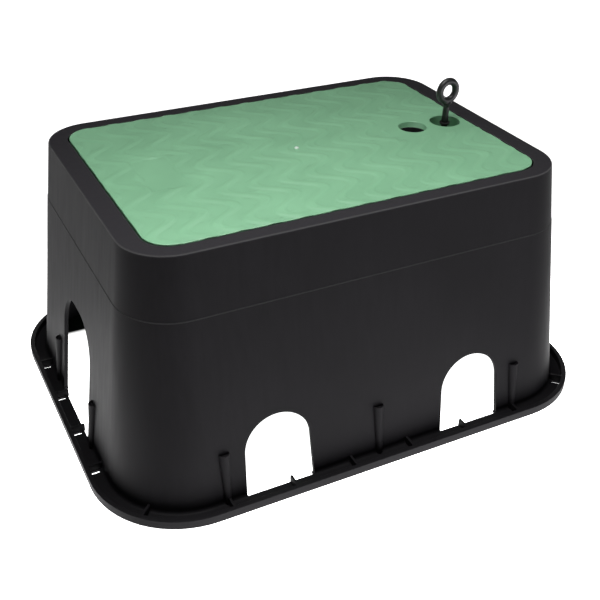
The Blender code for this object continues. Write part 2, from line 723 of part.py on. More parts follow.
def eye_ring():
    """The eye: a rod section turned about a level axis."""
    bm = bmesh.new()
    centre = EYE_BASE + EYE_RING_RADIUS + EYE_ROD_RADIUS
    bmesh.ops.create_circle(bm, segments=FEW_STEPS, radius=EYE_ROD_RADIUS,
                            matrix=Matrix.Translation((EYE_RING_RADIUS, 0, 0)))
    bmesh.ops.rotate(bm, verts=bm.verts, cent=(EYE_RING_RADIUS, 0, 0),
                     matrix=Matrix.Rotation(pi / FEW_STEPS / 2, 3, "Z"))
    bmesh.ops.spin(bm, geom=bm.verts[:] + bm.edges[:], cent=(0, 0, 0), axis=(0, 1, 0),
                   angle=2 * pi, steps=EYE_STEPS, use_merge=True)
    place = Matrix.Translation((0, 0, centre)) @ Matrix.Rotation(EYE_TURN, 4, "Z")
    bmesh.ops.transform(bm, matrix=place, verts=bm.verts)
    return guide_object("eye_ring", bm)


def add_flat_ring(bm, inner, outer, low, high, steps):
    """A flat ring between two radii and two heights."""
    corners = [(inner, low), (outer, low), (outer, high), (inner, high)]
    verts = [bm.verts.new((radius, 0, height)) for radius, height in corners]
    edges = [bm.edges.new((verts[i - 1], verts[i])) for i in range(4)]
    bmesh.ops.spin(bm, geom=verts + edges, cent=(0, 0, 0), axis=(0, 0, 1), angle=2 * pi,
                   steps=steps, use_merge=True)


def make_washer(finish, axis):
    """Snap washer in the bolt's groove."""
    bm = bmesh.new()
    add_flat_ring(bm, THREAD_RADIUS - WASHER_GROOVE + GAP, WASHER_RADIUS,
                  -WASHER_DROP, -WASHER_DROP + WASHER_THICKNESS, SMALL_STEPS)
    washer = new_object("snap_washer", bm, finish)
    washer.parent = axis
    return washer


def make_clip_nut(finish):
    """U-shaped spring clip pushed over the lug, with its nut below."""
    nose = BOLT_X - LUG_REACH - GAP
    heel = BOLT_X + CLIP_GRIP
    top, base = LUG_TOP + GAP, LUG_BASE - GAP
    outline = [(heel, top), (heel, top + CLIP_SHEET), (nose - CLIP_SHEET, top + CLIP_SHEET),
               (nose - CLIP_SHEET, base - CLIP_SHEET), (heel, base - CLIP_SHEET), (heel, base),
               (nose, base), (nose, top)]
    bm = bmesh.new()
    add_prism(bm, [Vector((x, -CLIP_WIDTH / 2, z)) for x, z in outline],
              Vector((0, CLIP_WIDTH, 0)))
    clip = new_object("clip_nut", bm, finish)
    combine(clip, nut_barrel(base), "UNION")
    combine(clip, nut_hole(top, base), "DIFFERENCE")
    return clip


def nut_barrel(base):
    """Six-sided nut under the lower leaf."""
    bm = bmesh.new()
    add_cylinder(bm, NUT_RADIUS, base - CLIP_SHEET - NUT_LENGTH, base - CLIP_SHEET / 2,
                 (BOLT_X, 0), NUT_SIDES)
    return guide_object("nut_barrel", bm)


def nut_hole(top, base):
    """Hole through both leaves and the nut."""
    bm = bmesh.new()
    add_cylinder(bm, THREAD_RADIUS + NUT_CLEARANCE, base - CLIP_SHEET - NUT_LENGTH - MM,
                 top + CLIP_SHEET + MM, (BOLT_X, 0), SMALL_STEPS)
    return guide_object("nut_hole", bm)


def main():
    """Clear the scene and make every piece."""
    for old in list(bpy.data.objects):
        bpy.data.objects.remove(old, do_unlink=True)
    black = material("black_polyethylene", (0.035, 0.035, 0.038), 0.55)
    green = material("green_polyethylene", (0.19, 0.46, 0.26), 0.6)
    bolt_black = material("black_nylon", (0.02, 0.02, 0.02), 0.45)
    steel = material("zinc_plated_steel", (0.55, 0.55, 0.56), 0.4, 1.0)
    make_body(black)
    make_lid(green)
    axis = axis_empty()
    make_bolt(bolt_black, axis)
    make_washer(bolt_black, axis)
    make_clip_nut(steel)


main()
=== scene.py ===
"""Irrigation valve box: black drafted body, green waved lid, eye bolt, snap washer and clip nut."""
from collections import namedtuple
from math import atan2, cos, hypot, pi, radians, sin, sqrt

import bmesh
import bpy
from bpy.props import FloatProperty, FloatVectorProperty, PointerProperty
from mathutils import Matrix, Vector


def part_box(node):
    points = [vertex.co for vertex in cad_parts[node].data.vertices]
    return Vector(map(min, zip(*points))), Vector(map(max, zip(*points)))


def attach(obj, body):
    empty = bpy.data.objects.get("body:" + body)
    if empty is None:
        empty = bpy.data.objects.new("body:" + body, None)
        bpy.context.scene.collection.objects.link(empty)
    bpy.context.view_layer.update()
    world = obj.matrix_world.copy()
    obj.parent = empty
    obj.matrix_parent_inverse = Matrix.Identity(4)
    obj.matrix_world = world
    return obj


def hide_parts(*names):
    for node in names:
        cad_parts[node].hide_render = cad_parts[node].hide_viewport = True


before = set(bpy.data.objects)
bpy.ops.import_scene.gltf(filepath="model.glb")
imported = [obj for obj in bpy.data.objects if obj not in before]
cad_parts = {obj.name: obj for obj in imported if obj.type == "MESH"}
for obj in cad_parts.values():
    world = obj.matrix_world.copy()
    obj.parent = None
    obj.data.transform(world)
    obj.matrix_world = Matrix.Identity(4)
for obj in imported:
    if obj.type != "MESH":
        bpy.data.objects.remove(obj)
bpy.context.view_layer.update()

bl_info = {
    "name": "Irrigation valve box",
    "version": (1, 0, 0),
    "blender": (4, 5, 0),
    "location": "View3D > Sidebar > Valve box",
    "description": "Makes a rectangular valve box with a waved lid and an eye bolt",
    "category": "Add Mesh",
}

MM = 0.001

# Sizes of the solids, in metres, in the frame's place
BODY_LOW, BODY_HIGH = (Vector(corner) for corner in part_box("box_body"))
LID_LOW, LID_HIGH = (Vector(corner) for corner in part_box("lid"))
TOP = BODY_HIGH.z
FLANGE_LENGTH = BODY_HIGH.x - BODY_LOW.x
FLANGE_WIDTH = BODY_HIGH.y - BODY_LOW.y
FLANGE_RADIUS = 113 * MM
FLANGE_REACH = 21 * MM
RIM_LENGTH = 538 * MM
RIM_WIDTH = 373 * MM
RIM_RADIUS = 56 * MM
WALL = 5 * MM
FLOOR = 3 * MM
LIP_HEIGHT = 11.5 * MM
LIP_WALL = 6 * MM
RIB_WALL = 3 * MM
RIB_SINK = 1.5 * MM
FRONT_RIBS = [i * 78 * MM for i in (-2.5, -1.5, -0.5, 0.5, 1.5, 2.5)]
END_RIBS = [i * 76 * MM for i in (-1.5, -0.5, 0.5, 1.5)]
SLOT_WIDTH = 4.5 * MM
SLOT_MARGIN = 0.8 * MM
PARTING_HEIGHT = 233 * MM
PARTING_STEP = 0.5 * MM
ARCH_CENTRE = 130 * MM
ARCH_FOOT = 85 * MM
ARCH_TOP = 79 * MM
ARCH_HEIGHT = 97.5 * MM
END_ARCH_FOOT = 110 * MM
END_ARCH_TOP = 114 * MM
END_ARCH_HEIGHT = 152 * MM
END_ARCH_CORNER = 47 * MM
BOSS_RADIUS = 6.5 * MM
BOSS_FOOT_RADIUS = 4 * MM
BOSS_TOP = 68 * MM
BOSS_WALL = 1.3 * MM
DISH_DEPTH = 2.5 * MM
DISH_TAPER = 0.9
FRONT_BOSSES = (-196 * MM, 0.0, 196 * MM)
END_BOSSES = (-75 * MM, 75 * MM)
LID_LENGTH = LID_HIGH.x - LID_LOW.x
LID_WIDTH = LID_HIGH.y - LID_LOW.y
LID_RADIUS = 31 * MM
LID_SKIRT = 12 * MM
HOLE_DEPTH = 8 * MM
LID_SKIRT_WALL = 4 * MM
LID_PLATE = 4.5 * MM
LID_RIB_WALL = 3 * MM
LID_RIB_DEPTH = 22 * MM
LID_CROSS_PITCH = 61 * MM
LID_LONG_PITCH = 50 * MM
RECESS_SLACK = 2 * MM
LEDGE_TOP = TOP - LID_SKIRT - 0.3 * MM
LEDGE_WIDTH = 12 * MM
LEDGE_WALL = 4 * MM
HOLE_X = 166 * MM
HOLE_RADIUS = 18 * MM
HOLE_COLLAR = 21.5 * MM
BOLT_X = 215.5 * MM
CUP_RADIUS = 19.3 * MM
CUP_OUTER = 22 * MM
CUP_FLOOR = TOP - 30 * MM
CUP_BASE = CUP_FLOOR - 3 * MM
SHANK_HOLE = 5.2 * MM
EYE_BASE = 23 * MM
EYE_RING = 12.65 * MM
EYE_ROD = 4.65 * MM
EYE_TURN = radians(4)
NECK = 3.9 * MM
SHANK = 4.6 * MM
THREAD = 4.4 * MM
THREAD_PITCH = 3 * MM
BOLT_REACH = 53 * MM
WASHER_DROP = 4 * MM
WASHER_THICKNESS = 3 * MM
WASHER_RADIUS = 6.8 * MM
WASHER_GROOVE = 3.5 * MM
LUG_TOP = TOP - 37 * MM
LUG_BASE = LUG_TOP - 8 * MM
LUG_WIDTH = 44 * MM
LUG_REACH = 17 * MM
LUG_HOLE = 5.6 * MM
GUSSET_WALL = 4 * MM
GUSSET_INSET = 1 * MM
GUSSET_DEPTH = 34 * MM
CLIP_SHEET = 1.5 * MM
CLIP_WIDTH = 20 * MM
CLIP_GRIP = 14 * MM
CLIP_GAP = 0.3 * MM
CLIP_BEND = 1.6 * MM
CLIP_TOP = LUG_TOP + CLIP_GAP + CLIP_SHEET
CLIP_BASE = LUG_BASE - CLIP_GAP - CLIP_SHEET
NUT_RADIUS = 7.5 * MM
NUT_LENGTH = 7 * MM
NUT_HOLE = 4.7 * MM

# Wave relief of the lid
WAVE_PITCH = 36.6 * MM
WAVE_LENGTH = 72.5 * MM
WAVE_SWING = 17 * MM
WAVE_WIDTH = 13 * MM
WAVE_GRID = 1.75 * MM
PAD_X = (126 * MM, 239 * MM)
PAD_HALF = 35 * MM
PANEL_X = (-198.5 * MM, -153.5 * MM)
PANEL_HALF = 44 * MM

# Camera of the photograph, in metres and radians
CAMERA_PLACE = (-0.4780, -0.9473, 0.7590)
CAMERA_YAW = radians(27.166)
CAMERA_PITCH = radians(32.361)
CAMERA_ROLL = radians(1.025)
CAMERA_LENS = 56.243

# Stage, in metres; each light has a name, place, target, size, power, beam in degrees and colour
FLOOR_DISC = 30.0
BACKDROP_RADIUS = 29.5
BACKDROP_HEIGHT = 15.0
WORLD_STRENGTH = 0.03
WHITE = (1.0, 1.0, 1.0)
LIGHTS = (
    ("key_softbox", (-0.13, -0.18, 1.35), (-0.17, -0.46, 0.3), (0.9, 0.45), 6.9, 108, WHITE),
    ("back_softbox", (0.35, 0.75, 1.5), (0, 0, 0.3), (0.4, 0.4), 1.7, 180, WHITE),
    ("right_softbox", (1.6, 1.4, 0.16), (0, 0, 0.15), (1.4, 0.26), 13, 180, WHITE),
    ("rear_softbox", (0.2, 2.0, 0.16), (0, 0, 0.13), (1.6, 0.26), 18, 180, WHITE),
    ("front_softbox", (1.0, -1.9, 0.16), (0.05, 0, 0.13), (1.1, 0.26), 10.5, 180,
     (0.96, 0.93, 1.0)),
)

# Points of a quarter round as (out, down) shares of its radius, and the moves along it
ROUND_POINTS = ((0.5, 0.13), (0.13, 0.5), (0.0, 1.0))
ROUND_MOVES = ((0.5, 0.13), (0.37, 0.37), (0.13, 0.5))

# A noise texture's values lie mostly in this range
NOISE_RANGE = (0.3, 0.7)

Station = namedtuple("Station", "length width radius z")


def linear(hex_colour):
    """Turn an sRGB hex colour into the linear values that shaders use."""
    values = [int(hex_colour[i:i + 2], 16) / 255 for i in (1, 3, 5)]
    return tuple(v / 12.92 if v <= 0.04045 else ((v + 0.055) / 1.055) ** 2.4 for v in values)


def smooth_step(value):
    """Ease from 0 to 1 while value runs from 0 to 1."""
    value = min(1.0, max(0.0, value))
    return value * value * (3 - 2 * value)


class ValveBoxSizes(bpy.types.PropertyGroup):
    """Small sizes that change the look and not the fit."""

    edge_ease: FloatProperty(
        name="Edge rounding", description="Rounding of the body's moulded edges",
        default=1.3 * MM, min=0.2 * MM, max=1.5 * MM, subtype="DISTANCE", unit="LENGTH")
    wave_rise: FloatProperty(
        name="Wave rise", description="Height of the lid's snaking ridges",
        default=0.62 * MM, min=0.0, max=1.0 * MM, subtype="DISTANCE", unit="LENGTH")
    wave_edge: FloatProperty(
        name="Wave edge", description="Width of the slope at a ridge's side",
        default=3.2 * MM, min=0.5 * MM, max=6 * MM, subtype="DISTANCE", unit="LENGTH")
    panel_sink: FloatProperty(
        name="Panel sink", description="Depth of the plain marking panel",
        default=0.3 * MM, min=0.0, max=1.0 * MM, subtype="DISTANCE", unit="LENGTH")


class ValveBoxColours(bpy.types.PropertyGroup):
    """Colours of the four materials and of the studio floor."""

    body: FloatVectorProperty(
        name="Body", description="Black polyethylene of the body",
        default=linear("#171618"), min=0.0, max=1.0, subtype="COLOR")
    lid: FloatVectorProperty(
        name="Lid", description="Green polyethylene of the lid",
        default=linear("#81b58f"), min=0.0, max=1.0, subtype="COLOR")
    bolt: FloatVectorProperty(
        name="Bolt", description="Black nylon of the eye bolt and washer",
        default=linear("#171717"), min=0.0, max=1.0, subtype="COLOR")
    nut: FloatVectorProperty(
        name="Nut", description="Zinc plated steel of the clip nut",
        default=linear("#b9bab6"), min=0.0, max=1.0, subtype="COLOR")
    floor: FloatVectorProperty(
        name="Floor", description="Pale studio floor",
        default=linear("#f4f4f4"), min=0.0, max=1.0, subtype="COLOR")


def set_sockets(material, node, sockets):
    """Give sockets their values or links. They are named in a dict or listed in the node's own
    order, and a node that is given stands for its first output."""
    named = sockets.items() if isinstance(sockets, dict) else enumerate(sockets)
    for name, given in named:
        if isinstance(given, bpy.types.Node):
            given = next(output for output in given.outputs if output.enabled)
        if isinstance(given, bpy.types.NodeSocket):
            material.node_tree.links.new(given, node.inputs[name])
        else:
            node.inputs[name].default_value = given


def add_node(material, kind, sockets=(), **settings):
    """Add a node to a material, with its settings and what its sockets take. A Map Range's
    list is its value, the two ends that it comes from and the two that it goes to."""
    made = material.node_tree.nodes.new(kind)
    for name, value in settings.items():
        setattr(made, name, value)
    set_sockets(material, made, sockets)
    return made


def new_material(name, roughness, metallic=0.0, ior=1.5):
    """A node material with its Principled shader and its Object coordinates."""
    made = bpy.data.materials.new(name)
    made.use_nodes = True
    shader = made.node_tree.nodes["Principled BSDF"]
    set_sockets(made, shader, {"Roughness": roughness, "Metallic": metallic, "IOR": ior})
    return made, shader, add_node(made, "ShaderNodeTexCoord").outputs["Object"]


def toned(colour, factor, lift=0.0):
    """The colour made lighter or darker, as the four values that a socket takes."""
    return (*(min(1.0, value * factor + lift) for value in colour), 1.0)


def moulded_grain(made, place, coarse, sockets):
    """Bump of a moulded skin; the real grain is 0.2 mm and too fine to show, so it is drawn
    coarser."""
    grain = add_node(made, "ShaderNodeTexNoise", {
        "Vector": place, "Scale": 1 / coarse, "Detail": 2.0})
    return add_node(made, "ShaderNodeBump", {"Height": grain, "Distance": 0.05 * MM, **sockets})


def soft_patches(made, shader, place, across, tones, dullness):
    """Give a shader patches of two tones and two roughnesses, and return them."""
    patches = add_node(made, "ShaderNodeTexNoise", {
        "Vector": place, "Scale": 1 / across, "Detail": 3.0})
    paint = add_node(made, "ShaderNodeMix", {
        "Factor": patches, "A": tones[0], "B": tones[1]}, data_type="RGBA")
    dull = add_node(made, "ShaderNodeMapRange", [patches, *NOISE_RANGE, *dullness])
    set_sockets(made, shader, {"Base Color": paint, "Roughness": dull})
    return patches


def black_polyethylene(colour):
    """Injection-moulded black HDPE: a dull satin, with long faint drag marks down the draft of the
    walls, cloudy flow marks and a very fine grain; the rim's top is painted paler as painted light,
    with thin painted highlights along its outer rounding and the parting line."""
    made, shader, place = new_material("black_polyethylene_moulded", 0.6, ior=1.51)
    set_sockets(made, shader, {"Specular IOR Level": 0.06})
    # Drag marks stand about 7 mm apart and run 150 mm down the wall
    stretched = add_node(made, "ShaderNodeMapping", {"Vector": place, "Scale": (1.0, 1.0, 0.04)})
    drag = add_node(made, "ShaderNodeTexNoise", {
        "Vector": stretched, "Scale": 1 / (7 * MM), "Detail": 3.0, "Roughness": 0.6})
    # Flow clouds are about 120 mm across
    clouds = add_node(made, "ShaderNodeTexNoise", {
        "Vector": place, "Scale": 1 / (120 * MM), "Detail": 2.0})
    both = add_node(made, "ShaderNodeMath", [drag, clouds], operation="MULTIPLY")
    tint = add_node(made, "ShaderNodeMapRange", [both, 0.12, 0.42, 0.0, 1.0])
    paint = add_node(made, "ShaderNodeMix", {
        "Factor": tint, "A": toned(colour, 0.88), "B": toned(colour, 1.22)}, data_type="RGBA")
    # The top of the rim is painted paler: painted light falling from above
    height = add_node(made, "ShaderNodeSeparateXYZ", [place]).outputs["Z"]
    painted_rim_top_light = add_node(made, "ShaderNodeMapRange", [
        height, TOP - 2.5 * MM, TOP - 0.7 * MM, 0.0, 1.0])
    paint = add_node(made, "ShaderNodeMix", {
        "Factor": painted_rim_top_light, "A": paint, "B": toned(colour, 2.85, 0.0035)}, data_type="RGBA")
    # The rim's outer rounding and the mould's parting line carry thin painted highlights
    for level, reach, pale in ((TOP - 0.75 * MM, 0.75 * MM, 0.075),
                               (PARTING_HEIGHT - 0.25 * MM, 0.8 * MM, 0.035)):
        off = add_node(made, "ShaderNodeMath", [height, level], operation="SUBTRACT")
        away = add_node(made, "ShaderNodeMath", [off], operation="ABSOLUTE")
        line = add_node(made, "ShaderNodeMapRange", [away, reach * 0.5, reach, 0.75, 0.0])
        paint = add_node(made, "ShaderNodeMix", {
            "Factor": line, "A": paint, "B": (pale, pale, pale, 1.0)}, data_type="RGBA")
    dullness = add_node(made, "ShaderNodeMapRange", [drag, *NOISE_RANGE, 0.53, 0.6])
    marks = add_node(made, "ShaderNodeBump", {
        "Height": drag, "Strength": 0.12, "Distance": 0.12 * MM})
    skin = moulded_grain(made, place, 0.8 * MM, {"Normal": marks, "Strength": 0.25})
    set_sockets(made, shader, {"Base Color": paint, "Roughness": dullness, "Normal": skin})
    return made


def green_polyethylene(colour):
    """Pigmented moulded HDPE: an even satin green, a little paler on the ridge tops, with cloudy
    flow marks and a fine grain; the gate nub in the middle carries a painted highlight."""
    made, shader, place = new_material("green_polyethylene_moulded", 0.5, ior=1.51)
    # Flow clouds are about 60 mm across
    clouds = add_node(made, "ShaderNodeTexNoise", {
        "Vector": place, "Scale": 1 / (60 * MM), "Detail": 3.0})
    height = add_node(made, "ShaderNodeSeparateXYZ", [place]).outputs["Z"]
    # Ridge tops and the gate nub, above the lid's plane, are made a little paler
    rubbed = add_node(made, "ShaderNodeMapRange", [
        height, TOP + 0.3 * MM, TOP + 1.0 * MM, 0.0, 0.35])
    mottle = add_node(made, "ShaderNodeMapRange", [clouds, *NOISE_RANGE, 0.0, 0.5])
    share = add_node(made, "ShaderNodeMath", [rubbed, mottle], operation="ADD")
    paint = add_node(made, "ShaderNodeMix", {
        "Factor": share, "A": toned(colour, 0.94), "B": toned(colour, 1.12)}, data_type="RGBA")
    # The nub of the broken gate in the middle of the lid is painted near white: a painted highlight
    flat = add_node(made, "ShaderNodeVectorMath", [place, (1.0, 1.0, 0.0)], operation="MULTIPLY")
    reach = add_node(made, "ShaderNodeVectorMath", [flat], operation="LENGTH")
    gate_highlight = add_node(made, "ShaderNodeMapRange", [reach, 2.6 * MM, 3.4 * MM, 0.9, 0.0])
    paint = add_node(made, "ShaderNodeMix", {
        "Factor": gate_highlight, "A": paint, "B": (0.75, 0.85, 0.78, 1.0)}, data_type="RGBA")
    dullness = add_node(made, "ShaderNodeMapRange", [clouds, *NOISE_RANGE, 0.32, 0.42])
    skin = moulded_grain(made, place, 0.7 * MM, {"Strength": 0.2})
    set_sockets(made, shader, {"Base Color": paint, "Roughness": dullness, "Normal": skin})
    return made


def black_nylon(colour):
    """Moulded nylon: deep black with a soft gloss and slightly uneven, rubbed patches."""
    made, shader, place = new_material("black_nylon_moulded", 0.4, ior=1.53)
    # Rubbed patches are about 6 mm across
    patches = soft_patches(made, shader, place, 6 * MM,
                           (toned(colour, 1.0), toned(colour, 1.6)), (0.3, 0.5))
    skin = add_node(made, "ShaderNodeBump", {
        "Height": patches, "Strength": 0.3, "Distance": 0.06 * MM})
    set_sockets(made, shader, {"Normal": skin})
    return made


def zinc_plated_steel(colour):
    """Bright zinc plate on spring steel: grey metal with cloudy, slightly blurred shine."""
    made, shader, place = new_material("zinc_plated_steel", 0.32, metallic=1.0)
    # Plating clouds are about 2.5 mm across
    soft_patches(made, shader, place, 2.5 * MM, (toned(colour, 0.8), toned(colour, 1.0)),
                 (0.25, 0.42))
    return made


def add_object(name, data):
    """Put an object with this data in the scene."""
    made = bpy.data.objects.new(name, data)
    bpy.context.scene.collection.objects.link(made)
    return made


def take_mesh(bm, name):
    """Turn a bmesh into a mesh and free it."""
    mesh = bpy.data.meshes.new(name)
    bm.to_mesh(mesh)
    bm.free()
    return mesh


def clean(bm, gap=0.001 * MM):
    """Merge a bmesh's doubles and point its faces outwards."""
    bmesh.ops.remove_doubles(bm, verts=bm.verts, dist=gap)
    bmesh.ops.recalc_face_normals(bm, faces=bm.faces)


def round_off(bm, geom, reach, steps, affect="EDGES", **more):
    """Bevel edges or corners to an even round."""
    bmesh.ops.bevel(bm, geom=geom, offset=reach, offset_type="OFFSET", segments=steps,
                    profile=0.5, affect=affect, material=-1, **more)


def spin_round(bm, steps, axis=(0, 0, 1)):
    """Spin all that a bmesh holds once round an axis through the origin."""
    bmesh.ops.spin(bm, geom=bm.verts[:] + bm.edges[:], cent=(0, 0, 0), axis=axis, angle=2 * pi,
                   steps=steps, use_merge=True)


def draw_out(bm, faces, offset):
    """Extrude faces by an offset; the first ones stay as the near side."""
    grown = bmesh.ops.extrude_face_region(bm, geom=faces, use_keep_orig=True)
    moved = [item for item in grown["geom"] if isinstance(item, bmesh.types.BMVert)]
    bmesh.ops.translate(bm, vec=offset, verts=moved)


def finish_piece(bm, name, body, finish, sharp=32):
    """Make a bmesh a finished piece: it rides on its body and stands for the node of its name."""
    clean(bm, 0.002 * MM)
    mesh = take_mesh(bm, name + "_look")
    mesh.shade_smooth()
    mesh.set_sharp_from_angle(angle=radians(sharp))
    mesh.materials.append(finish)
    piece = add_object(name + "_look", mesh)
    steady = piece.modifiers.new("flat_faces_stay_flat", "WEIGHTED_NORMAL")
    steady.keep_sharp = True
    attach(piece, body)
    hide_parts(name)


def take_result(holder, *others):
    """A bmesh of an object as its modifiers leave it; the helper objects are removed."""
    result = bmesh.new()
    result.from_object(holder, bpy.context.evaluated_depsgraph_get())
    for helper in (holder, *others):
        mesh = helper.data
        bpy.data.objects.remove(helper, do_unlink=True)
        bpy.data.meshes.remove(mesh)
    return result


def carve(bm, cutter):
    """Cut one bmesh out of another with an exact Boolean and return the result."""
    holders = []
    for name, source in (("carved", bm), ("cutter", cutter)):
        clean(source)
        holders.append(add_object(name, take_mesh(source, name)))
    modifier = holders[0].modifiers.new("carve", "BOOLEAN")
    modifier.operation = "DIFFERENCE"
    modifier.solver = "EXACT"
    modifier.object = holders[1]
    return take_result(*holders)


def absorb(bm, source, matrix=None):
    """Add a bmesh, moved by matrix, to another one."""
    if matrix:
        bmesh.ops.transform(source, matrix=matrix, verts=source.verts)
    bmesh.ops.recalc_face_normals(source, faces=source.faces)
    carrier = take_mesh(source, "carrier")
    bm.from_mesh(carrier)
    bpy.data.meshes.remove(carrier)


def rounded_ring(bm, station, steps):
    """A level ring of edges: a rectangle whose corners are rounded."""
    made = bmesh.ops.create_grid(bm, x_segments=1, y_segments=1, size=0.5)
    bmesh.ops.scale(bm, vec=(station.length, station.width, 1.0), verts=made["verts"])
    bmesh.ops.translate(bm, vec=(0, 0, station.z), verts=made["verts"])
    round_off(bm, made["verts"], station.radius, steps, "VERTICES")
    ring = bm.edges[:]
    bmesh.ops.delete(bm, geom=bm.faces[:], context="FACES_ONLY")
    return ring


def grow_ring(bm, ring):
    """Extrude a ring of edges and return the new ring with its vertices."""
    grown = bmesh.ops.extrude_edge_only(bm, edges=ring)
    verts = [item for item in grown["geom"] if isinstance(item, bmesh.types.BMVert)]
    fresh = set(verts)
    edges = [item for item in grown["geom"] if isinstance(item, bmesh.types.BMEdge)
             and item.verts[0] in fresh and item.verts[1] in fresh]
    return edges, verts


def skin_stations(bm, stations, steps):
    """Extrude a rounded ring from station to station; the last station meets the first."""
    ring = rounded_ring(bm, stations[0], steps)
    for before, after in zip(stations, stations[1:] + stations[:1]):
        ring, verts = grow_ring(bm, ring)
        for vert in verts:
            sx = 1 if vert.co.x > 0 else -1
            sy = 1 if vert.co.y > 0 else -1
            arm = Vector((vert.co.x - sx * (before.length / 2 - before.radius),
                          vert.co.y - sy * (before.width / 2 - before.radius)))
            arm *= after.radius / before.radius
            vert.co = (sx * (after.length / 2 - after.radius) + arm.x,
                       sy * (after.width / 2 - after.radius) + arm.y, after.z)
    clean(bm)


def between(first, second, share):
    """The station that lies a share of the way from first to second."""
    return Station(*(a + (b - a) * share for a, b in zip(first, second)))


def eased(corners, steps=3):
    """Round the corners of a closed section, given as (station, rounding)."""
    stations = []
    for i, (corner, ease) in enumerate(corners):
        if not ease:
            stations.append(corner)
            continue
        sides = []
        for other, _ in (corners[i - 1], corners[(i + 1) % len(corners)]):
            reach = hypot((corner.length - other.length) / 2, corner.z - other.z)
            sides.append(between(corner, other, min(0.48, ease / reach)))
        for step in range(steps + 1):
            share = step / steps
            stations.append(between(between(sides[0], corner, share),
                                    between(corner, sides[1], share), share))
    return stations


def add_bar(bm, low, high, ease, matrix=None):
    """A rectangular bar between two corners with rounded edges."""
    bar = bmesh.new()
    size = Vector(high) - Vector(low)
    place = Matrix.Translation((Vector(low) + Vector(high)) / 2) @ Matrix.Diagonal((*size, 1.0))
    bmesh.ops.create_cube(bar, size=1.0, matrix=place)
    if ease:
        round_off(bar, bar.edges[:], ease, 2)
    absorb(bm, bar, matrix)


def add_post(bm, radius, low, high, steps=48):
    """A plain cylinder on the bolt's axis."""
    place = Matrix.Translation((BOLT_X, 0, (low + high) / 2))
    bmesh.ops.create_cone(bm, cap_ends=True, segments=steps, radius1=radius, radius2=radius,
                          depth=high - low, matrix=place)


def add_turned(bm, profile, steps=48):
    """Turn a profile of (radius, height) about the Z axis; a profile that starts and ends on
    the axis closes itself."""
    verts = [bm.verts.new((radius, 0.0, height)) for radius, height in profile]
    for pair in zip(verts, verts[1:]):
        bm.edges.new(pair)
    spin_round(bm, steps)
    clean(bm)


def moved_in(length, width, radius, z, inset):
    """A station whose outline lies inset inside the given one."""
    return Station(length - 2 * inset, width - 2 * inset, radius - inset, z)


def on_flange(z, inset=0.0):
    """Outline of the foot flange, moved in by inset."""
    return moved_in(FLANGE_LENGTH, FLANGE_WIDTH, FLANGE_RADIUS, z, inset)


def on_wall(z, inset=0.0):
    """Outline of the sloping wall's outside at height z, moved in by inset."""
    foot = on_flange(FLOOR, FLANGE_REACH)
    rim = Station(RIM_LENGTH, RIM_WIDTH, RIM_RADIUS, TOP)
    line = between(foot, rim, (z - FLOOR) / (TOP - FLOOR))
    return moved_in(line.length, line.width, line.radius, z, inset)


def on_recess(z, inset=0.0):
    """Outline of the recess that holds the lid, moved in by inset."""
    return moved_in(LID_LENGTH, LID_WIDTH, LID_RADIUS, z, inset - RECESS_SLACK)


def body_section(ease):
    """Closed section of the body, as corners with their roundings."""
    under_rim = TOP - WALL
    ledge_base = LEDGE_TOP - LEDGE_WALL
    return [
        (on_flange(0.0), 0.5 * ease),
        (on_flange(LIP_HEIGHT), ease),
        (on_flange(LIP_HEIGHT, LIP_WALL), ease),
        (on_flange(FLOOR, LIP_WALL), 0.8 * ease),
        (on_flange(FLOOR, FLANGE_REACH), 4 * MM),
        (on_wall(PARTING_HEIGHT - PARTING_STEP, -PARTING_STEP), 0.2 * MM),
        (on_wall(PARTING_HEIGHT), 0.2 * MM),
        (on_wall(TOP), 1.5 * ease),
        (on_recess(TOP), 0.8 * ease),
        (on_recess(LEDGE_TOP), 0.5 * ease),
        (on_recess(LEDGE_TOP, LEDGE_WIDTH), 0.8 * ease),
        (on_recess(ledge_base, LEDGE_WIDTH), 0.8 * ease),
        (on_recess(ledge_base, -LEDGE_WALL), 0.0),
        (on_recess(under_rim, -LEDGE_WALL), 0.0),
        (on_wall(under_rim, WALL), 2 * ease),
        (on_wall(FLOOR, WALL), 0.0),
        (on_flange(0.0, FLANGE_REACH + WALL), 0.5 * ease),
    ]


def side_turns():
    """The four sides as (turn, half the flange's size, half the foot's size, half the rim's)."""
    long_side = (FLANGE_WIDTH / 2, FLANGE_WIDTH / 2 - FLANGE_REACH, RIM_WIDTH / 2)
    end_side = (FLANGE_LENGTH / 2, FLANGE_LENGTH / 2 - FLANGE_REACH, RIM_LENGTH / 2)
    return ((0.0, *long_side), (pi, *long_side), (pi / 2, *end_side), (-pi / 2, *end_side))


def add_arch(bm, foot, top, height, corner, near, depth, matrix):
    """A prism of an arch's outline: sloping sides and round shoulders."""
    arch = bmesh.new()
    points = ((-foot / 2, FLOOR), (foot / 2, FLOOR), (top / 2, height), (-top / 2, height))
    face = arch.faces.new([arch.verts.new((across, near, up)) for across, up in points])
    shoulders = [vert for vert in face.verts if vert.co.z > FLOOR + MM]
    round_off(arch, shoulders, corner, 18, "VERTICES")
    draw_out(arch, arch.faces[:], (0, depth, 0))
    absorb(bm, arch, matrix)


def arch_places():
    """Every arch as (its shape, its side's sizes, its frame)."""
    places = []
    for turn, flange, foot, rim in side_turns():
        is_end = flange > FLANGE_WIDTH / 2
        shape = ((END_ARCH_FOOT, END_ARCH_TOP, END_ARCH_HEIGHT, END_ARCH_CORNER) if is_end
                 else (ARCH_FOOT, ARCH_TOP, ARCH_HEIGHT, ARCH_TOP / 2 - 0.1 * MM))
        for along in ((0.0,) if is_end else (-ARCH_CENTRE, ARCH_CENTRE)):
            place = Matrix.Rotation(turn, 4, "Z") @ Matrix.Translation((along, 0, 0))
            places.append((shape, (flange, foot, rim), place))
    return places


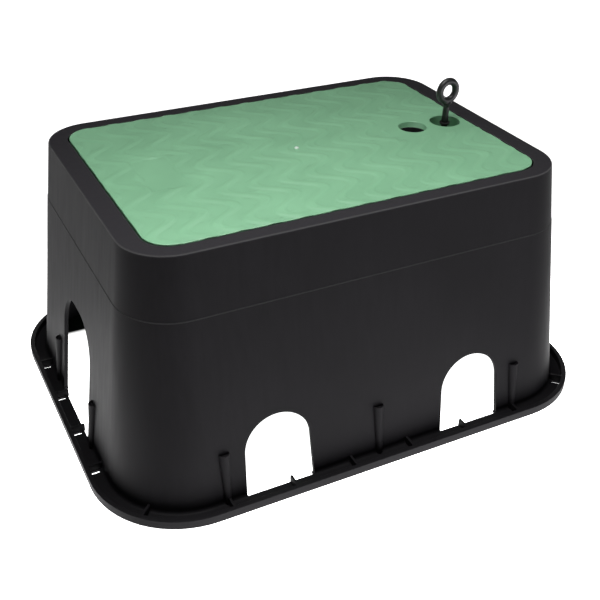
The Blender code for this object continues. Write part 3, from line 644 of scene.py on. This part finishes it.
def arch_cutters():
    """Prisms that open the wall above the gutter's floor."""
    bm = bmesh.new()
    for shape, (flange, foot, rim), place in arch_places():
        add_arch(bm, *shape, LIP_WALL - flange, foot - rim + 2 * WALL + FLANGE_REACH, place)
    return bm


def floor_cutters():
    """Cutters for the wall's foot in each arch, the drain slots and the cup's notch."""
    bm = bmesh.new()
    for shape, (_, foot, _), place in arch_places():
        half = shape[0] / 2 - MM
        add_bar(bm, (-half, -foot, -MM), (half, 2 * WALL - foot, FLOOR + MM), 0, place)
    for rib, side in rib_frames():
        if side:
            edge = side * (RIB_WALL / 2 + SLOT_MARGIN)
            low, high = sorted((edge, edge + side * SLOT_WIDTH))
            add_bar(bm, (low, LIP_WALL + SLOT_MARGIN, -MM),
                    (high, FLANGE_REACH - 4 * MM, FLOOR + MM), 0, rib)
    add_post(bm, CUP_OUTER + 1.5 * MM, LEDGE_TOP - LEDGE_WALL - MM, LEDGE_TOP + MM)
    return bm


def rib_frames():
    """Every gutter rib as (frame on the flange's edge with Y inwards, side of its slot or 0)."""
    frames = []
    for turn, flange, _, _ in side_turns():
        is_end = flange > FLANGE_WIDTH / 2
        for along in (END_RIBS if is_end else FRONT_RIBS):
            frames.append((Matrix.Rotation(turn, 4, "Z")
                           @ Matrix.Translation((along, -flange, 0)), 1 if is_end else 0))
    for sx, sy, side in ((1, -1, -1), (-1, 1, -1), (1, 1, 0), (-1, -1, 0)):
        centre = (sx * (FLANGE_LENGTH / 2 - FLANGE_RADIUS),
                  sy * (FLANGE_WIDTH / 2 - FLANGE_RADIUS), 0)
        frames.append((Matrix.Translation(centre)
                       @ Matrix.Rotation(atan2(sy, sx) + pi / 2, 4, "Z")
                       @ Matrix.Translation((0, -FLANGE_RADIUS, 0)), side))
    return frames


def ease_arches(bm, ease):
    """Round the sharp edges that the arches left in the wall."""
    side_half, side_from = 50 * MM, 185 * MM
    end_half, end_from = 62 * MM, 262 * MM
    chosen = []
    for edge in bm.edges:
        middle = (edge.verts[0].co + edge.verts[1].co) / 2
        in_side = abs(abs(middle.x) - ARCH_CENTRE) < side_half and abs(middle.y) > side_from
        in_end = abs(middle.y) < end_half and abs(middle.x) > end_from
        if (in_side or in_end) and middle.z > LIP_HEIGHT + 1.5 * MM and len(edge.link_faces) == 2:
            if edge.calc_face_angle(0) > radians(55):
                chosen.append(edge)
    round_off(bm, chosen, ease, 3, clamp_overlap=True)


def level_faces(bm):
    """The faces that look straight up."""
    return [face for face in bm.faces if face.normal.z > 0.99]


def add_boss(bm, along, foot, rim, matrix):
    """A half-round boss with a dished top that tapers down the sloping wall to the gutter."""
    low = FLOOR - RIB_SINK
    middle = (low + BOSS_TOP) / 2
    slope = (foot - rim) / (TOP - FLOOR)
    lean = Matrix.Identity(4)
    lean[1][2] = slope
    boss = bmesh.new()
    place = Matrix.Translation((along, slope * (middle - FLOOR) - foot, middle)) @ lean
    bmesh.ops.create_cone(boss, cap_ends=True, segments=40, radius1=BOSS_FOOT_RADIUS,
                          radius2=BOSS_RADIUS, depth=BOSS_TOP - low, matrix=place)
    round_off(boss, level_faces(boss)[0].edges[:], 0.5 * MM, 2)
    inner = bmesh.ops.inset_region(boss, faces=level_faces(boss), thickness=BOSS_WALL,
                                   use_even_offset=True)
    dish = [face for face in level_faces(boss) if face not in inner["faces"]][0].verts[:]
    bmesh.ops.translate(boss, vec=(0, 0, -DISH_DEPTH), verts=dish)
    top_y = slope * (BOSS_TOP - FLOOR) - foot
    bmesh.ops.scale(boss, vec=(DISH_TAPER, DISH_TAPER, 1.0), verts=dish,
                    space=Matrix.Translation((-along, -top_y, 0)))
    bmesh.ops.bisect_plane(boss, geom=boss.verts[:] + boss.edges[:] + boss.faces[:],
                           plane_co=(along, WALL / 2 + top_y, BOSS_TOP), plane_no=(0, 1, -slope),
                           clear_outer=True)
    bmesh.ops.holes_fill(boss, edges=[e for e in boss.edges if e.is_boundary], sides=0)
    absorb(bm, boss, matrix)


def add_lug(bm):
    """Shelf under the bolt cup with two triangular webs, on the inside of the right end."""
    def wall_x(z):
        """Middle of the end wall's thickness at height z."""
        return on_wall(z).length / 2 - WALL / 2

    shelf = bmesh.new()
    add_bar(shelf, (BOLT_X - LUG_REACH, -LUG_WIDTH / 2, LUG_BASE),
            (wall_x(LUG_TOP), LUG_WIDTH / 2, LUG_TOP), 0.8 * MM)
    hole = bmesh.new()
    add_post(hole, LUG_HOLE, LUG_BASE - MM, LUG_TOP + MM)
    absorb(bm, carve(shelf, hole))
    for side in (-1, 1):
        web = bmesh.new()
        y = side * (LUG_WIDTH / 2 - GUSSET_INSET - GUSSET_WALL / 2) - GUSSET_WALL / 2
        corners = ((BOLT_X - LUG_REACH + GUSSET_WALL, LUG_BASE + RIB_SINK),
                   (wall_x(LUG_BASE), LUG_BASE + RIB_SINK),
                   (wall_x(LUG_BASE - GUSSET_DEPTH), LUG_BASE - GUSSET_DEPTH))
        face = web.faces.new([web.verts.new((x, y, z)) for x, z in corners])
        draw_out(web, [face], (0, GUSSET_WALL, 0))
        round_off(web, web.edges[:], 0.6 * MM, 2)
        absorb(bm, web)


class VALVEBOX_OT_body(bpy.types.Operator):
    """Make the black body with its flange, ribs, arches, bosses and bolt lug"""

    bl_idname = "valvebox.body"
    bl_label = "Body"

    def execute(self, context):
        ease = context.scene.valve_box_sizes.edge_ease
        bm = bmesh.new()
        skin_stations(bm, eased(body_section(ease)), 16)
        bm = carve(bm, arch_cutters())
        bm = carve(bm, floor_cutters())
        ease_arches(bm, 0.7 * ease)
        for rib, _ in rib_frames():
            add_bar(bm, (-RIB_WALL / 2, LIP_WALL - RIB_SINK, FLOOR - RIB_SINK),
                    (RIB_WALL / 2, FLANGE_REACH + RIB_SINK, LIP_HEIGHT), 0.5 * MM, rib)
        for turn, flange, foot, rim in side_turns():
            for along in (END_BOSSES if flange > FLANGE_WIDTH / 2 else FRONT_BOSSES):
                add_boss(bm, along, foot, rim, Matrix.Rotation(turn, 4, "Z"))
        add_lug(bm)
        finish = black_polyethylene(context.scene.valve_box_colours.body)
        finish_piece(bm, "box_body", "box", finish)
        return {"FINISHED"}


def in_box(x, y, x_range, half_y, soft):
    """1 inside a rectangle, 0 outside, eased over a soft edge."""
    out = max(x_range[0] - x, x - x_range[1], abs(y) - half_y)
    return smooth_step(0.5 - out / soft)


def wave_height(x, y, sizes):
    """Height of the lid's relief at a point."""
    turn = 2 * pi * y / WAVE_LENGTH
    slant = sqrt(1 + (WAVE_SWING * 2 * pi / WAVE_LENGTH * sin(turn)) ** 2)
    cycle = (x + WAVE_SWING * cos(turn)) / WAVE_PITCH
    across = abs(cycle - round(cycle)) * WAVE_PITCH
    inward = (WAVE_WIDTH / 2 - across) / slant / sizes.wave_edge
    height = sizes.wave_rise * smooth_step(inward + 0.5)
    panel = in_box(x, y, PANEL_X, PANEL_HALF, MM)
    pad = in_box(x, y, (PAD_X[0], LID_HIGH.x + WAVE_PITCH), PAD_HALF + MM, 2 * MM)
    return height * (1 - pad) * (1 - panel) - sizes.panel_sink * panel


def lid_outward(vert, inset):
    """Outward direction of the lid's outline at a vertex on it."""
    away = Vector((abs(vert.co.x) - (LID_LENGTH / 2 - LID_RADIUS),
                   abs(vert.co.y) - (LID_WIDTH / 2 - LID_RADIUS)))
    if away.x > 0 and away.y > 0:
        arm = away.normalized()
    elif abs(away.x - (LID_RADIUS - inset)) < abs(away.y - (LID_RADIUS - inset)):
        arm = Vector((1, 0))
    else:
        arm = Vector((0, 1))
    return Vector((arm.x * (1 if vert.co.x > 0 else -1), arm.y * (1 if vert.co.y > 0 else -1), 0))


def lid_top(bm, sizes, ease):
    """Waved top of the lid as a fine grid, trimmed to its round corners; returns its edge."""
    length, width = LID_LENGTH - 2 * ease, LID_WIDTH - 2 * ease
    bmesh.ops.create_grid(bm, x_segments=round(length / WAVE_GRID),
                          y_segments=round(width / WAVE_GRID), size=0.5)
    bmesh.ops.scale(bm, vec=(length, width, 1.0), verts=bm.verts)
    bmesh.ops.translate(bm, vec=(0, 0, TOP), verts=bm.verts)
    radius = LID_RADIUS - ease
    steps = 14
    for sx in (-1, 1):
        for sy in (-1, 1):
            centre = Vector((sx * (length / 2 - radius), sy * (width / 2 - radius), TOP))
            for step in range(steps):
                angle = (step + 0.5) / steps * pi / 2
                arm = Vector((sx * cos(angle), sy * sin(angle), 0))
                faces = []
                for face in bm.faces:
                    middle = face.calc_center_median()
                    if ((middle - centre).dot(arm) > radius - 4 * WAVE_GRID
                            and middle.x * sx > 0 and middle.y * sy > 0):
                        faces.append(face)
                near = dict.fromkeys(item for face in faces
                                     for item in (face, *face.edges, *face.verts))
                bmesh.ops.bisect_plane(bm, geom=list(near), clear_outer=True,
                                       plane_co=centre + arm * radius * cos(pi / 4 / steps),
                                       plane_no=arm)
    for vert in bm.verts:
        vert.co.z += wave_height(vert.co.x, vert.co.y, sizes)
    return [edge for edge in bm.edges if edge.is_boundary]


def fill_round(bm, outer, circles, z):
    """Fill a flat area between an outer ring of edges and round holes; returns the holes."""
    rings = []
    for x, radius in circles:
        made = bmesh.ops.create_circle(bm, segments=64, radius=radius,
                                       matrix=Matrix.Translation((x, 0, z)))
        rings.append(list(dict.fromkeys(e for vert in made["verts"] for e in vert.link_edges)))
    bmesh.ops.triangle_fill(bm, edges=outer + sum(rings, []), use_beauty=True)
    return rings


def turn_down(bm, ring, x, radius, ease, profile):
    """Round a hole's mouth and extrude its ring of edges through a profile of (radius, height)."""
    mouth = [(radius + out * ease, TOP - drop * ease) for out, drop in ROUND_POINTS]
    for reach, z in mouth + profile:
        ring, verts = grow_ring(bm, ring)
        for vert in verts:
            arm = Vector((vert.co.x - x, vert.co.y, 0)).normalized() * reach
            vert.co = (x + arm.x, arm.y, z)


def lid_skirt(bm, edge, ease):
    """Round the lid's edge, take it down to the skirt's foot and back up inside."""
    plate_base = TOP - LID_PLATE
    for out, drop in ROUND_MOVES:
        edge, verts = grow_ring(bm, edge)
        for vert in verts:
            vert.co += lid_outward(vert, ease) * out * ease + Vector((0, 0, -drop * ease))
    for out, z in ((0.0, TOP - LID_SKIRT + 0.5 * MM), (-0.5 * MM, TOP - LID_SKIRT),
                   (0.5 * MM - LID_SKIRT_WALL, TOP - LID_SKIRT), (0.0, plate_base)):
        edge, verts = grow_ring(bm, edge)
        for vert in verts:
            vert.co += lid_outward(vert, 0.0) * out
            vert.co.z = z
    return edge


def lid_ribs(bm):
    """Grid of ribs under the lid, with an open bay round the lifting hole and the bolt cup."""
    low, high = TOP - LID_RIB_DEPTH, TOP - LID_PLATE + MM
    half_x = LID_LENGTH / 2 - LEDGE_WIDTH
    half_y = LID_WIDTH / 2 - LEDGE_WIDTH
    half_wall = LID_RIB_WALL / 2
    for i in range(-2, 3):
        y = i * LID_LONG_PITCH
        stop = half_x if i else 2 * LID_CROSS_PITCH
        add_bar(bm, (-half_x, y - half_wall, low), (stop, y + half_wall, high), 0.5 * MM)
    for i in range(-3, 4):
        x = i * LID_CROSS_PITCH
        spans = [(-half_y, half_y)]
        if i == 3:
            spans = [(-half_y, -LID_LONG_PITCH), (LID_LONG_PITCH, half_y)]
        for start, stop in spans:
            add_bar(bm, (x - half_wall, start, low), (x + half_wall, stop, high), 0.5 * MM)


class VALVEBOX_OT_lid(bpy.types.Operator):
    """Make the green lid with its waves, lifting hole, bolt cup and ribs"""

    bl_idname = "valvebox.lid"
    bl_label = "Lid"

    def execute(self, context):
        sizes = context.scene.valve_box_sizes
        ease = 1.0 * MM
        bm = bmesh.new()
        border = lid_top(bm, sizes, ease)
        pad = [face for face in bm.faces
               if PAD_X[0] + 3 * MM < face.calc_center_median().x < PAD_X[1]
               and abs(face.calc_center_median().y) < PAD_HALF - 2 * MM]
        bmesh.ops.delete(bm, geom=pad, context="FACES")
        kept = set(border)
        rim = [edge for edge in bm.edges if edge.is_boundary and edge not in kept]
        holes = fill_round(bm, rim, ((HOLE_X, HOLE_RADIUS + ease), (BOLT_X, CUP_RADIUS + ease)), TOP)
        edge = lid_skirt(bm, border, ease)
        plate_base = TOP - LID_PLATE
        fill_round(bm, edge, ((HOLE_X, HOLE_COLLAR), (BOLT_X, CUP_OUTER)), plate_base)
        foot = TOP - HOLE_DEPTH
        turn_down(bm, holes[0], HOLE_X, HOLE_RADIUS, ease,
                  [(HOLE_RADIUS, foot + 0.5 * MM), (HOLE_RADIUS + 0.5 * MM, foot),
                   (HOLE_COLLAR - 0.5 * MM, foot), (HOLE_COLLAR, foot + 0.5 * MM),
                   (HOLE_COLLAR, plate_base)])
        turn_down(bm, holes[1], BOLT_X, CUP_RADIUS, ease,
                  [(CUP_RADIUS, CUP_FLOOR + 2 * MM), (CUP_RADIUS - 0.6 * MM, CUP_FLOOR + 0.6 * MM),
                   (CUP_RADIUS - 2 * MM, CUP_FLOOR), (SHANK_HOLE + 0.4 * MM, CUP_FLOOR),
                   (SHANK_HOLE, CUP_FLOOR - 0.4 * MM), (SHANK_HOLE, CUP_BASE),
                   (CUP_OUTER - MM, CUP_BASE), (CUP_OUTER, CUP_BASE + MM),
                   (CUP_OUTER, plate_base)])
        clean(bm, 0.002 * MM)
        lid_ribs(bm)
        mark = bmesh.new()
        add_turned(mark, [(0.0, 2.1 * MM), (1.2 * MM, 1.9 * MM), (2.3 * MM, 1.3 * MM),
                          (2.9 * MM, 0.6 * MM), (3.1 * MM, -MM), (0.0, -MM)], 24)
        absorb(bm, mark, Matrix.Translation((0, 0, TOP)))
        finish = green_polyethylene(context.scene.valve_box_colours.lid)
        finish_piece(bm, "lid", "lid", finish)
        return {"FINISHED"}


def soft_union(parts, voxel, rounds):
    """Melt closed bmeshes into one skin with soft joints."""
    bm = bmesh.new()
    for part in parts:
        absorb(bm, part)
    holder = add_object("melted", take_mesh(bm, "melted"))
    remesh = holder.modifiers.new("melt", "REMESH")
    remesh.mode = "VOXEL"
    remesh.voxel_size = voxel
    soften = holder.modifiers.new("soften", "SMOOTH")
    soften.factor = 0.5
    soften.iterations = rounds
    return take_result(holder)


def bolt_head():
    """The eye and its flared neck, down to the washer, melted together."""
    groove_high = WASHER_THICKNESS - WASHER_DROP + 0.3 * MM
    ring = bmesh.new()
    bmesh.ops.create_circle(ring, segments=24, radius=EYE_ROD,
                            matrix=Matrix.Translation((EYE_RING, 0, 0)))
    spin_round(ring, 72, (0, 1, 0))
    place = Matrix.Translation((0, 0, EYE_BASE + EYE_RING + EYE_ROD))
    bmesh.ops.transform(ring, matrix=place @ Matrix.Rotation(EYE_TURN, 4, "Z"), verts=ring.verts)
    neck = bmesh.new()
    add_turned(neck, [(0.0, groove_high), (SHANK, groove_high), (NECK, EYE_BASE - NECK),
                      (NECK + 0.4 * MM, EYE_BASE - 1.5 * MM), (SHANK + NECK / 2, EYE_BASE + 2 * MM),
                      (NECK, EYE_BASE + EYE_ROD), (0.0, EYE_BASE + EYE_ROD)], 40)
    return soft_union([ring, neck], 0.5 * MM, 8)


def bolt_thread():
    """Round thread from the washer to the tip: a core with a helical crest."""
    groove_low = -WASHER_DROP - 0.3 * MM
    core = THREAD - 0.7 * MM
    bm = bmesh.new()
    add_turned(bm, [(0.0, -BOLT_REACH), (2.2 * MM, -BOLT_REACH), (2.6 * MM, 0.4 * MM - BOLT_REACH),
                    (core, 4 * MM - BOLT_REACH), (core, groove_low - 3 * MM),
                    (THREAD, groove_low - 2 * MM), (THREAD, groove_low), (WASHER_GROOVE, groove_low),
                    (WASHER_GROOVE, MM - WASHER_DROP + WASHER_THICKNESS),
                    (0.0, MM - WASHER_DROP + WASHER_THICKNESS)], 40)
    crest = bmesh.new()
    start = 4.5 * MM - BOLT_REACH
    turns = int((groove_low - 3 * MM - start) / THREAD_PITCH)
    points = ((core - 0.2 * MM, -1.1 * MM), (THREAD, -0.35 * MM), (THREAD, 0.35 * MM),
              (core - 0.2 * MM, 1.1 * MM))
    verts = [crest.verts.new((radius, 0, start + up)) for radius, up in points]
    edges = [crest.edges.new((verts[i - 1], verts[i])) for i in range(len(verts))]
    steps = 28
    bmesh.ops.spin(crest, geom=verts + edges, cent=(0, 0, 0), axis=(0, 0, 1),
                   angle=2 * pi * turns, steps=steps * turns, dvec=(0, 0, THREAD_PITCH / steps))
    bmesh.ops.holes_fill(crest, edges=[e for e in crest.edges if e.is_boundary], sides=0)
    absorb(bm, crest)
    return bm


class VALVEBOX_OT_eye_bolt(bpy.types.Operator):
    """Make the black eye bolt with its thread"""

    bl_idname = "valvebox.eye_bolt"
    bl_label = "Eye bolt"

    def execute(self, context):
        bm = bolt_head()
        absorb(bm, bolt_thread())
        bmesh.ops.translate(bm, vec=(BOLT_X, 0, TOP), verts=bm.verts)
        finish = black_nylon(context.scene.valve_box_colours.bolt)
        finish_piece(bm, "eye_bolt", "bolt", finish, 50)
        return {"FINISHED"}


class VALVEBOX_OT_snap_washer(bpy.types.Operator):
    """Make the washer that sits in the bolt's groove"""

    bl_idname = "valvebox.snap_washer"
    bl_label = "Snap washer"

    def execute(self, context):
        inner, low = WASHER_GROOVE + 0.3 * MM, -WASHER_DROP
        high, ease = low + WASHER_THICKNESS, 0.6 * MM
        corners = ((inner, low), (WASHER_RADIUS, low), (WASHER_RADIUS, high), (inner, high))
        bm = bmesh.new()
        verts = [bm.verts.new((radius, 0.0, height)) for radius, height in corners]
        face = bm.faces.new(verts)
        outer = [vert for vert in face.verts if vert.co.x > inner + MM]
        round_off(bm, outer, ease, 3, "VERTICES")
        bmesh.ops.delete(bm, geom=bm.faces[:], context="FACES_ONLY")
        spin_round(bm, 48)
        bmesh.ops.translate(bm, vec=(BOLT_X, 0, TOP), verts=bm.verts)
        finish = black_nylon(context.scene.valve_box_colours.bolt)
        finish_piece(bm, "snap_washer", "bolt_carrier", finish)
        return {"FINISHED"}


def clip_sheet():
    """The clip's U of spring sheet with round bends and a hole for the bolt."""
    nose = BOLT_X - LUG_REACH - CLIP_GAP - CLIP_SHEET
    heel = BOLT_X + CLIP_GRIP
    bm = bmesh.new()
    points = ((heel, CLIP_TOP), (nose, CLIP_TOP), (nose, CLIP_BASE), (heel, CLIP_BASE))
    verts = [bm.verts.new((x, -CLIP_WIDTH / 2, z)) for x, z in points]
    edges = [bm.edges.new(pair) for pair in zip(verts, verts[1:])]
    _, moved = grow_ring(bm, edges)
    bmesh.ops.translate(bm, vec=(0, CLIP_WIDTH, 0), verts=moved)
    bends = [e for e in bm.edges if len(e.link_faces) == 2]
    round_off(bm, bends, CLIP_BEND, 5)
    upper = [f for f in bm.faces if f.calc_center_median().z > CLIP_TOP - 0.1 * MM]
    if upper[0].normal.z < 0:
        bmesh.ops.reverse_faces(bm, faces=bm.faces[:])
    bmesh.ops.solidify(bm, geom=bm.faces[:], thickness=CLIP_SHEET)
    drill = bmesh.new()
    add_post(drill, NUT_HOLE, CLIP_BASE - 4 * MM, CLIP_TOP + 4 * MM, 40)
    return carve(bm, drill)


def nut_barrel():
    """Six-sided nut with chamfered foot and a hole."""
    low = CLIP_BASE - NUT_LENGTH
    bm = bmesh.new()
    add_post(bm, NUT_RADIUS, low, CLIP_BASE + 0.5 * MM, 6)
    foot = [e for e in bm.edges if all(v.co.z < low + MM for v in e.verts)]
    round_off(bm, foot, 0.7 * MM, 2)
    drill = bmesh.new()
    add_post(drill, NUT_HOLE, low - MM, CLIP_BASE + 2 * MM, 40)
    return carve(bm, drill)


class VALVEBOX_OT_clip_nut(bpy.types.Operator):
    """Make the zinc plated clip with its nut"""

    bl_idname = "valvebox.clip_nut"
    bl_label = "Clip nut"

    def execute(self, context):
        bm = bmesh.new()
        absorb(bm, clip_sheet())
        absorb(bm, nut_barrel())
        finish = zinc_plated_steel(context.scene.valve_box_colours.nut)
        finish_piece(bm, "clip_nut", "box", finish)
        return {"FINISHED"}


def pale_floor(colour):
    """White paper that glows: a painted pool of light round the box, painted shade under it and
    dimmer far away.
    """
    made, shader, place = new_material("studio_floor_painted_glow", 0.9)
    mirrored = add_node(made, "ShaderNodeVectorMath", [place], operation="ABSOLUTE")
    beyond = add_node(made, "ShaderNodeVectorMath", [
        mirrored, (FLANGE_LENGTH / 2, FLANGE_WIDTH / 2, 0)], operation="SUBTRACT")
    sides = add_node(made, "ShaderNodeSeparateXYZ", [beyond]).outputs
    reach = add_node(made, "ShaderNodeMath", [sides["X"], sides["Y"]], operation="MAXIMUM")
    # The paper is less lit off the box's four corners
    off_corner = add_node(made, "ShaderNodeMath", [sides["X"], sides["Y"]], operation="MINIMUM")
    brightest = add_node(made, "ShaderNodeMapRange", [
        off_corner, -120 * MM, 30 * MM, 3.4, 1.0], interpolation_type="SMOOTHSTEP")
    fading = add_node(made, "ShaderNodeMapRange", [
        reach, 20 * MM, 300 * MM, brightest, 1.0], interpolation_type="SMOOTHSTEP")
    shade = add_node(made, "ShaderNodeMapRange", [
        reach, -100 * MM, 0.0, 0.4, 1.0], interpolation_type="SMOOTHSTEP")
    glow = add_node(made, "ShaderNodeMath", [fading, shade], operation="MULTIPLY")
    # No light gets to the floor along the inside of the rear wall
    rear_y = add_node(made, "ShaderNodeSeparateXYZ", [place]).outputs["Y"]
    dark = add_node(made, "ShaderNodeMapRange", [rear_y, 174 * MM, 182 * MM, 0.0, 1.0])
    for value, low, high in ((reach, -30 * MM, -22 * MM), (sides["X"], -56 * MM, -52 * MM)):
        inside = add_node(made, "ShaderNodeMapRange", [value, low, high, 1.0, 0.0])
        dark = add_node(made, "ShaderNodeMath", [dark, inside], operation="MULTIPLY")
    lit = add_node(made, "ShaderNodeMath", [1.0, dark], operation="SUBTRACT")
    glow = add_node(made, "ShaderNodeMath", [glow, lit], operation="MULTIPLY")
    paper = add_node(made, "ShaderNodeMix", {
        "Factor": lit, "A": (0.0, 0.0, 0.0, 1.0), "B": toned(colour, 1.0)}, data_type="RGBA")
    set_sockets(made, shader, {"Base Color": paper, "Emission Color": (1.0, 1.0, 1.0, 1.0),
                               "Emission Strength": glow})
    return made


def add_backdrop():
    """White wall far behind the floor; it is only seen and throws no light on the box."""
    bm = bmesh.new()
    place = Matrix.Translation((0, 0, BACKDROP_HEIGHT / 2))
    bmesh.ops.create_cone(bm, segments=64, radius1=BACKDROP_RADIUS, radius2=BACKDROP_RADIUS,
                          depth=BACKDROP_HEIGHT, matrix=place)
    made, shader, _ = new_material("white_studio_backdrop", 1.0)
    set_sockets(made, shader, {"Emission Color": (1.0, 1.0, 1.0, 1.0), "Emission Strength": 1.2})
    backdrop = add_object("studio_backdrop", take_mesh(bm, "studio_backdrop"))
    backdrop.data.materials.append(made)
    backdrop.visible_diffuse = False
    backdrop.visible_glossy = False
    backdrop.visible_transmission = False
    backdrop.visible_shadow = False


def add_light(name, place, target, size, power, spread, colour):
    """A soft rectangular studio light aimed at a point; spread is its beam in degrees."""
    data = bpy.data.lights.new(name, "AREA")
    data.shape = "RECTANGLE"
    data.size, data.size_y = size
    data.energy = power
    data.spread = radians(spread)
    data.color = colour
    light = add_object(name, data)
    light.location = place
    light.rotation_euler = (Vector(target) - Vector(place)).to_track_quat("-Z", "Y").to_euler()


def add_camera():
    """Camera at the place, angle and lens of the photograph."""
    data = bpy.data.cameras.new("photograph_view")
    data.sensor_width = 36.0
    data.lens = CAMERA_LENS
    camera = add_object("photograph_view", data)
    camera.matrix_world = (Matrix.Translation(CAMERA_PLACE)
                           @ Matrix.Rotation(-CAMERA_YAW, 4, "Z")
                           @ Matrix.Rotation(pi / 2 - CAMERA_PITCH, 4, "X")
                           @ Matrix.Rotation(CAMERA_ROLL, 4, "Z"))
    bpy.context.scene.camera = camera


class VALVEBOX_OT_stage(bpy.types.Operator):
    """Make the pale floor, the soft lights and the camera"""

    bl_idname = "valvebox.stage"
    bl_label = "Stage"

    def execute(self, context):
        bm = bmesh.new()
        bmesh.ops.create_circle(bm, cap_ends=True, segments=64, radius=FLOOR_DISC)
        floor = add_object("studio_floor", take_mesh(bm, "studio_floor"))
        floor.data.materials.append(pale_floor(context.scene.valve_box_colours.floor))
        add_backdrop()
        world = bpy.data.worlds.new("studio")
        world.use_nodes = True
        set_sockets(world, world.node_tree.nodes["Background"],
                    {"Color": (1, 1, 1, 1), "Strength": WORLD_STRENGTH})
        context.scene.world = world
        context.scene.view_settings.view_transform = "Standard"
        for settings in LIGHTS:
            add_light(*settings)
        add_camera()
        return {"FINISHED"}


class VALVEBOX_PT_panel(bpy.types.Panel):
    """Panel that lists the valve box's sizes, colours and makers"""

    bl_idname = "VALVEBOX_PT_panel"
    bl_label = "Valve box"
    bl_space_type = "VIEW_3D"
    bl_region_type = "UI"
    bl_category = "Valve box"

    def draw(self, context):
        for group in (context.scene.valve_box_sizes, context.scene.valve_box_colours):
            for name in group.__annotations__:
                self.layout.prop(group, name)
        for maker in MAKERS:
            self.layout.operator(maker.bl_idname)


MAKERS = (VALVEBOX_OT_stage, VALVEBOX_OT_body, VALVEBOX_OT_lid, VALVEBOX_OT_eye_bolt,
          VALVEBOX_OT_snap_washer, VALVEBOX_OT_clip_nut)
CLASSES = (ValveBoxSizes, ValveBoxColours, *MAKERS, VALVEBOX_PT_panel)


def register():
    """Register the classes and the scene's settings."""
    for cls in CLASSES:
        bpy.utils.register_class(cls)
    bpy.types.Scene.valve_box_sizes = PointerProperty(type=ValveBoxSizes)
    bpy.types.Scene.valve_box_colours = PointerProperty(type=ValveBoxColours)


def unregister():
    """Take the settings and classes away again."""
    del bpy.types.Scene.valve_box_colours
    del bpy.types.Scene.valve_box_sizes
    for cls in reversed(CLASSES):
        bpy.utils.unregister_class(cls)


def main():
    """Register the settings, then make the stage and every piece."""
    register()
    bpy.ops.valvebox.stage()
    bpy.ops.valvebox.body()
    bpy.ops.valvebox.lid()
    bpy.ops.valvebox.eye_bolt()
    bpy.ops.valvebox.snap_washer()
    bpy.ops.valvebox.clip_nut()


if __name__ == "__main__":
    main()
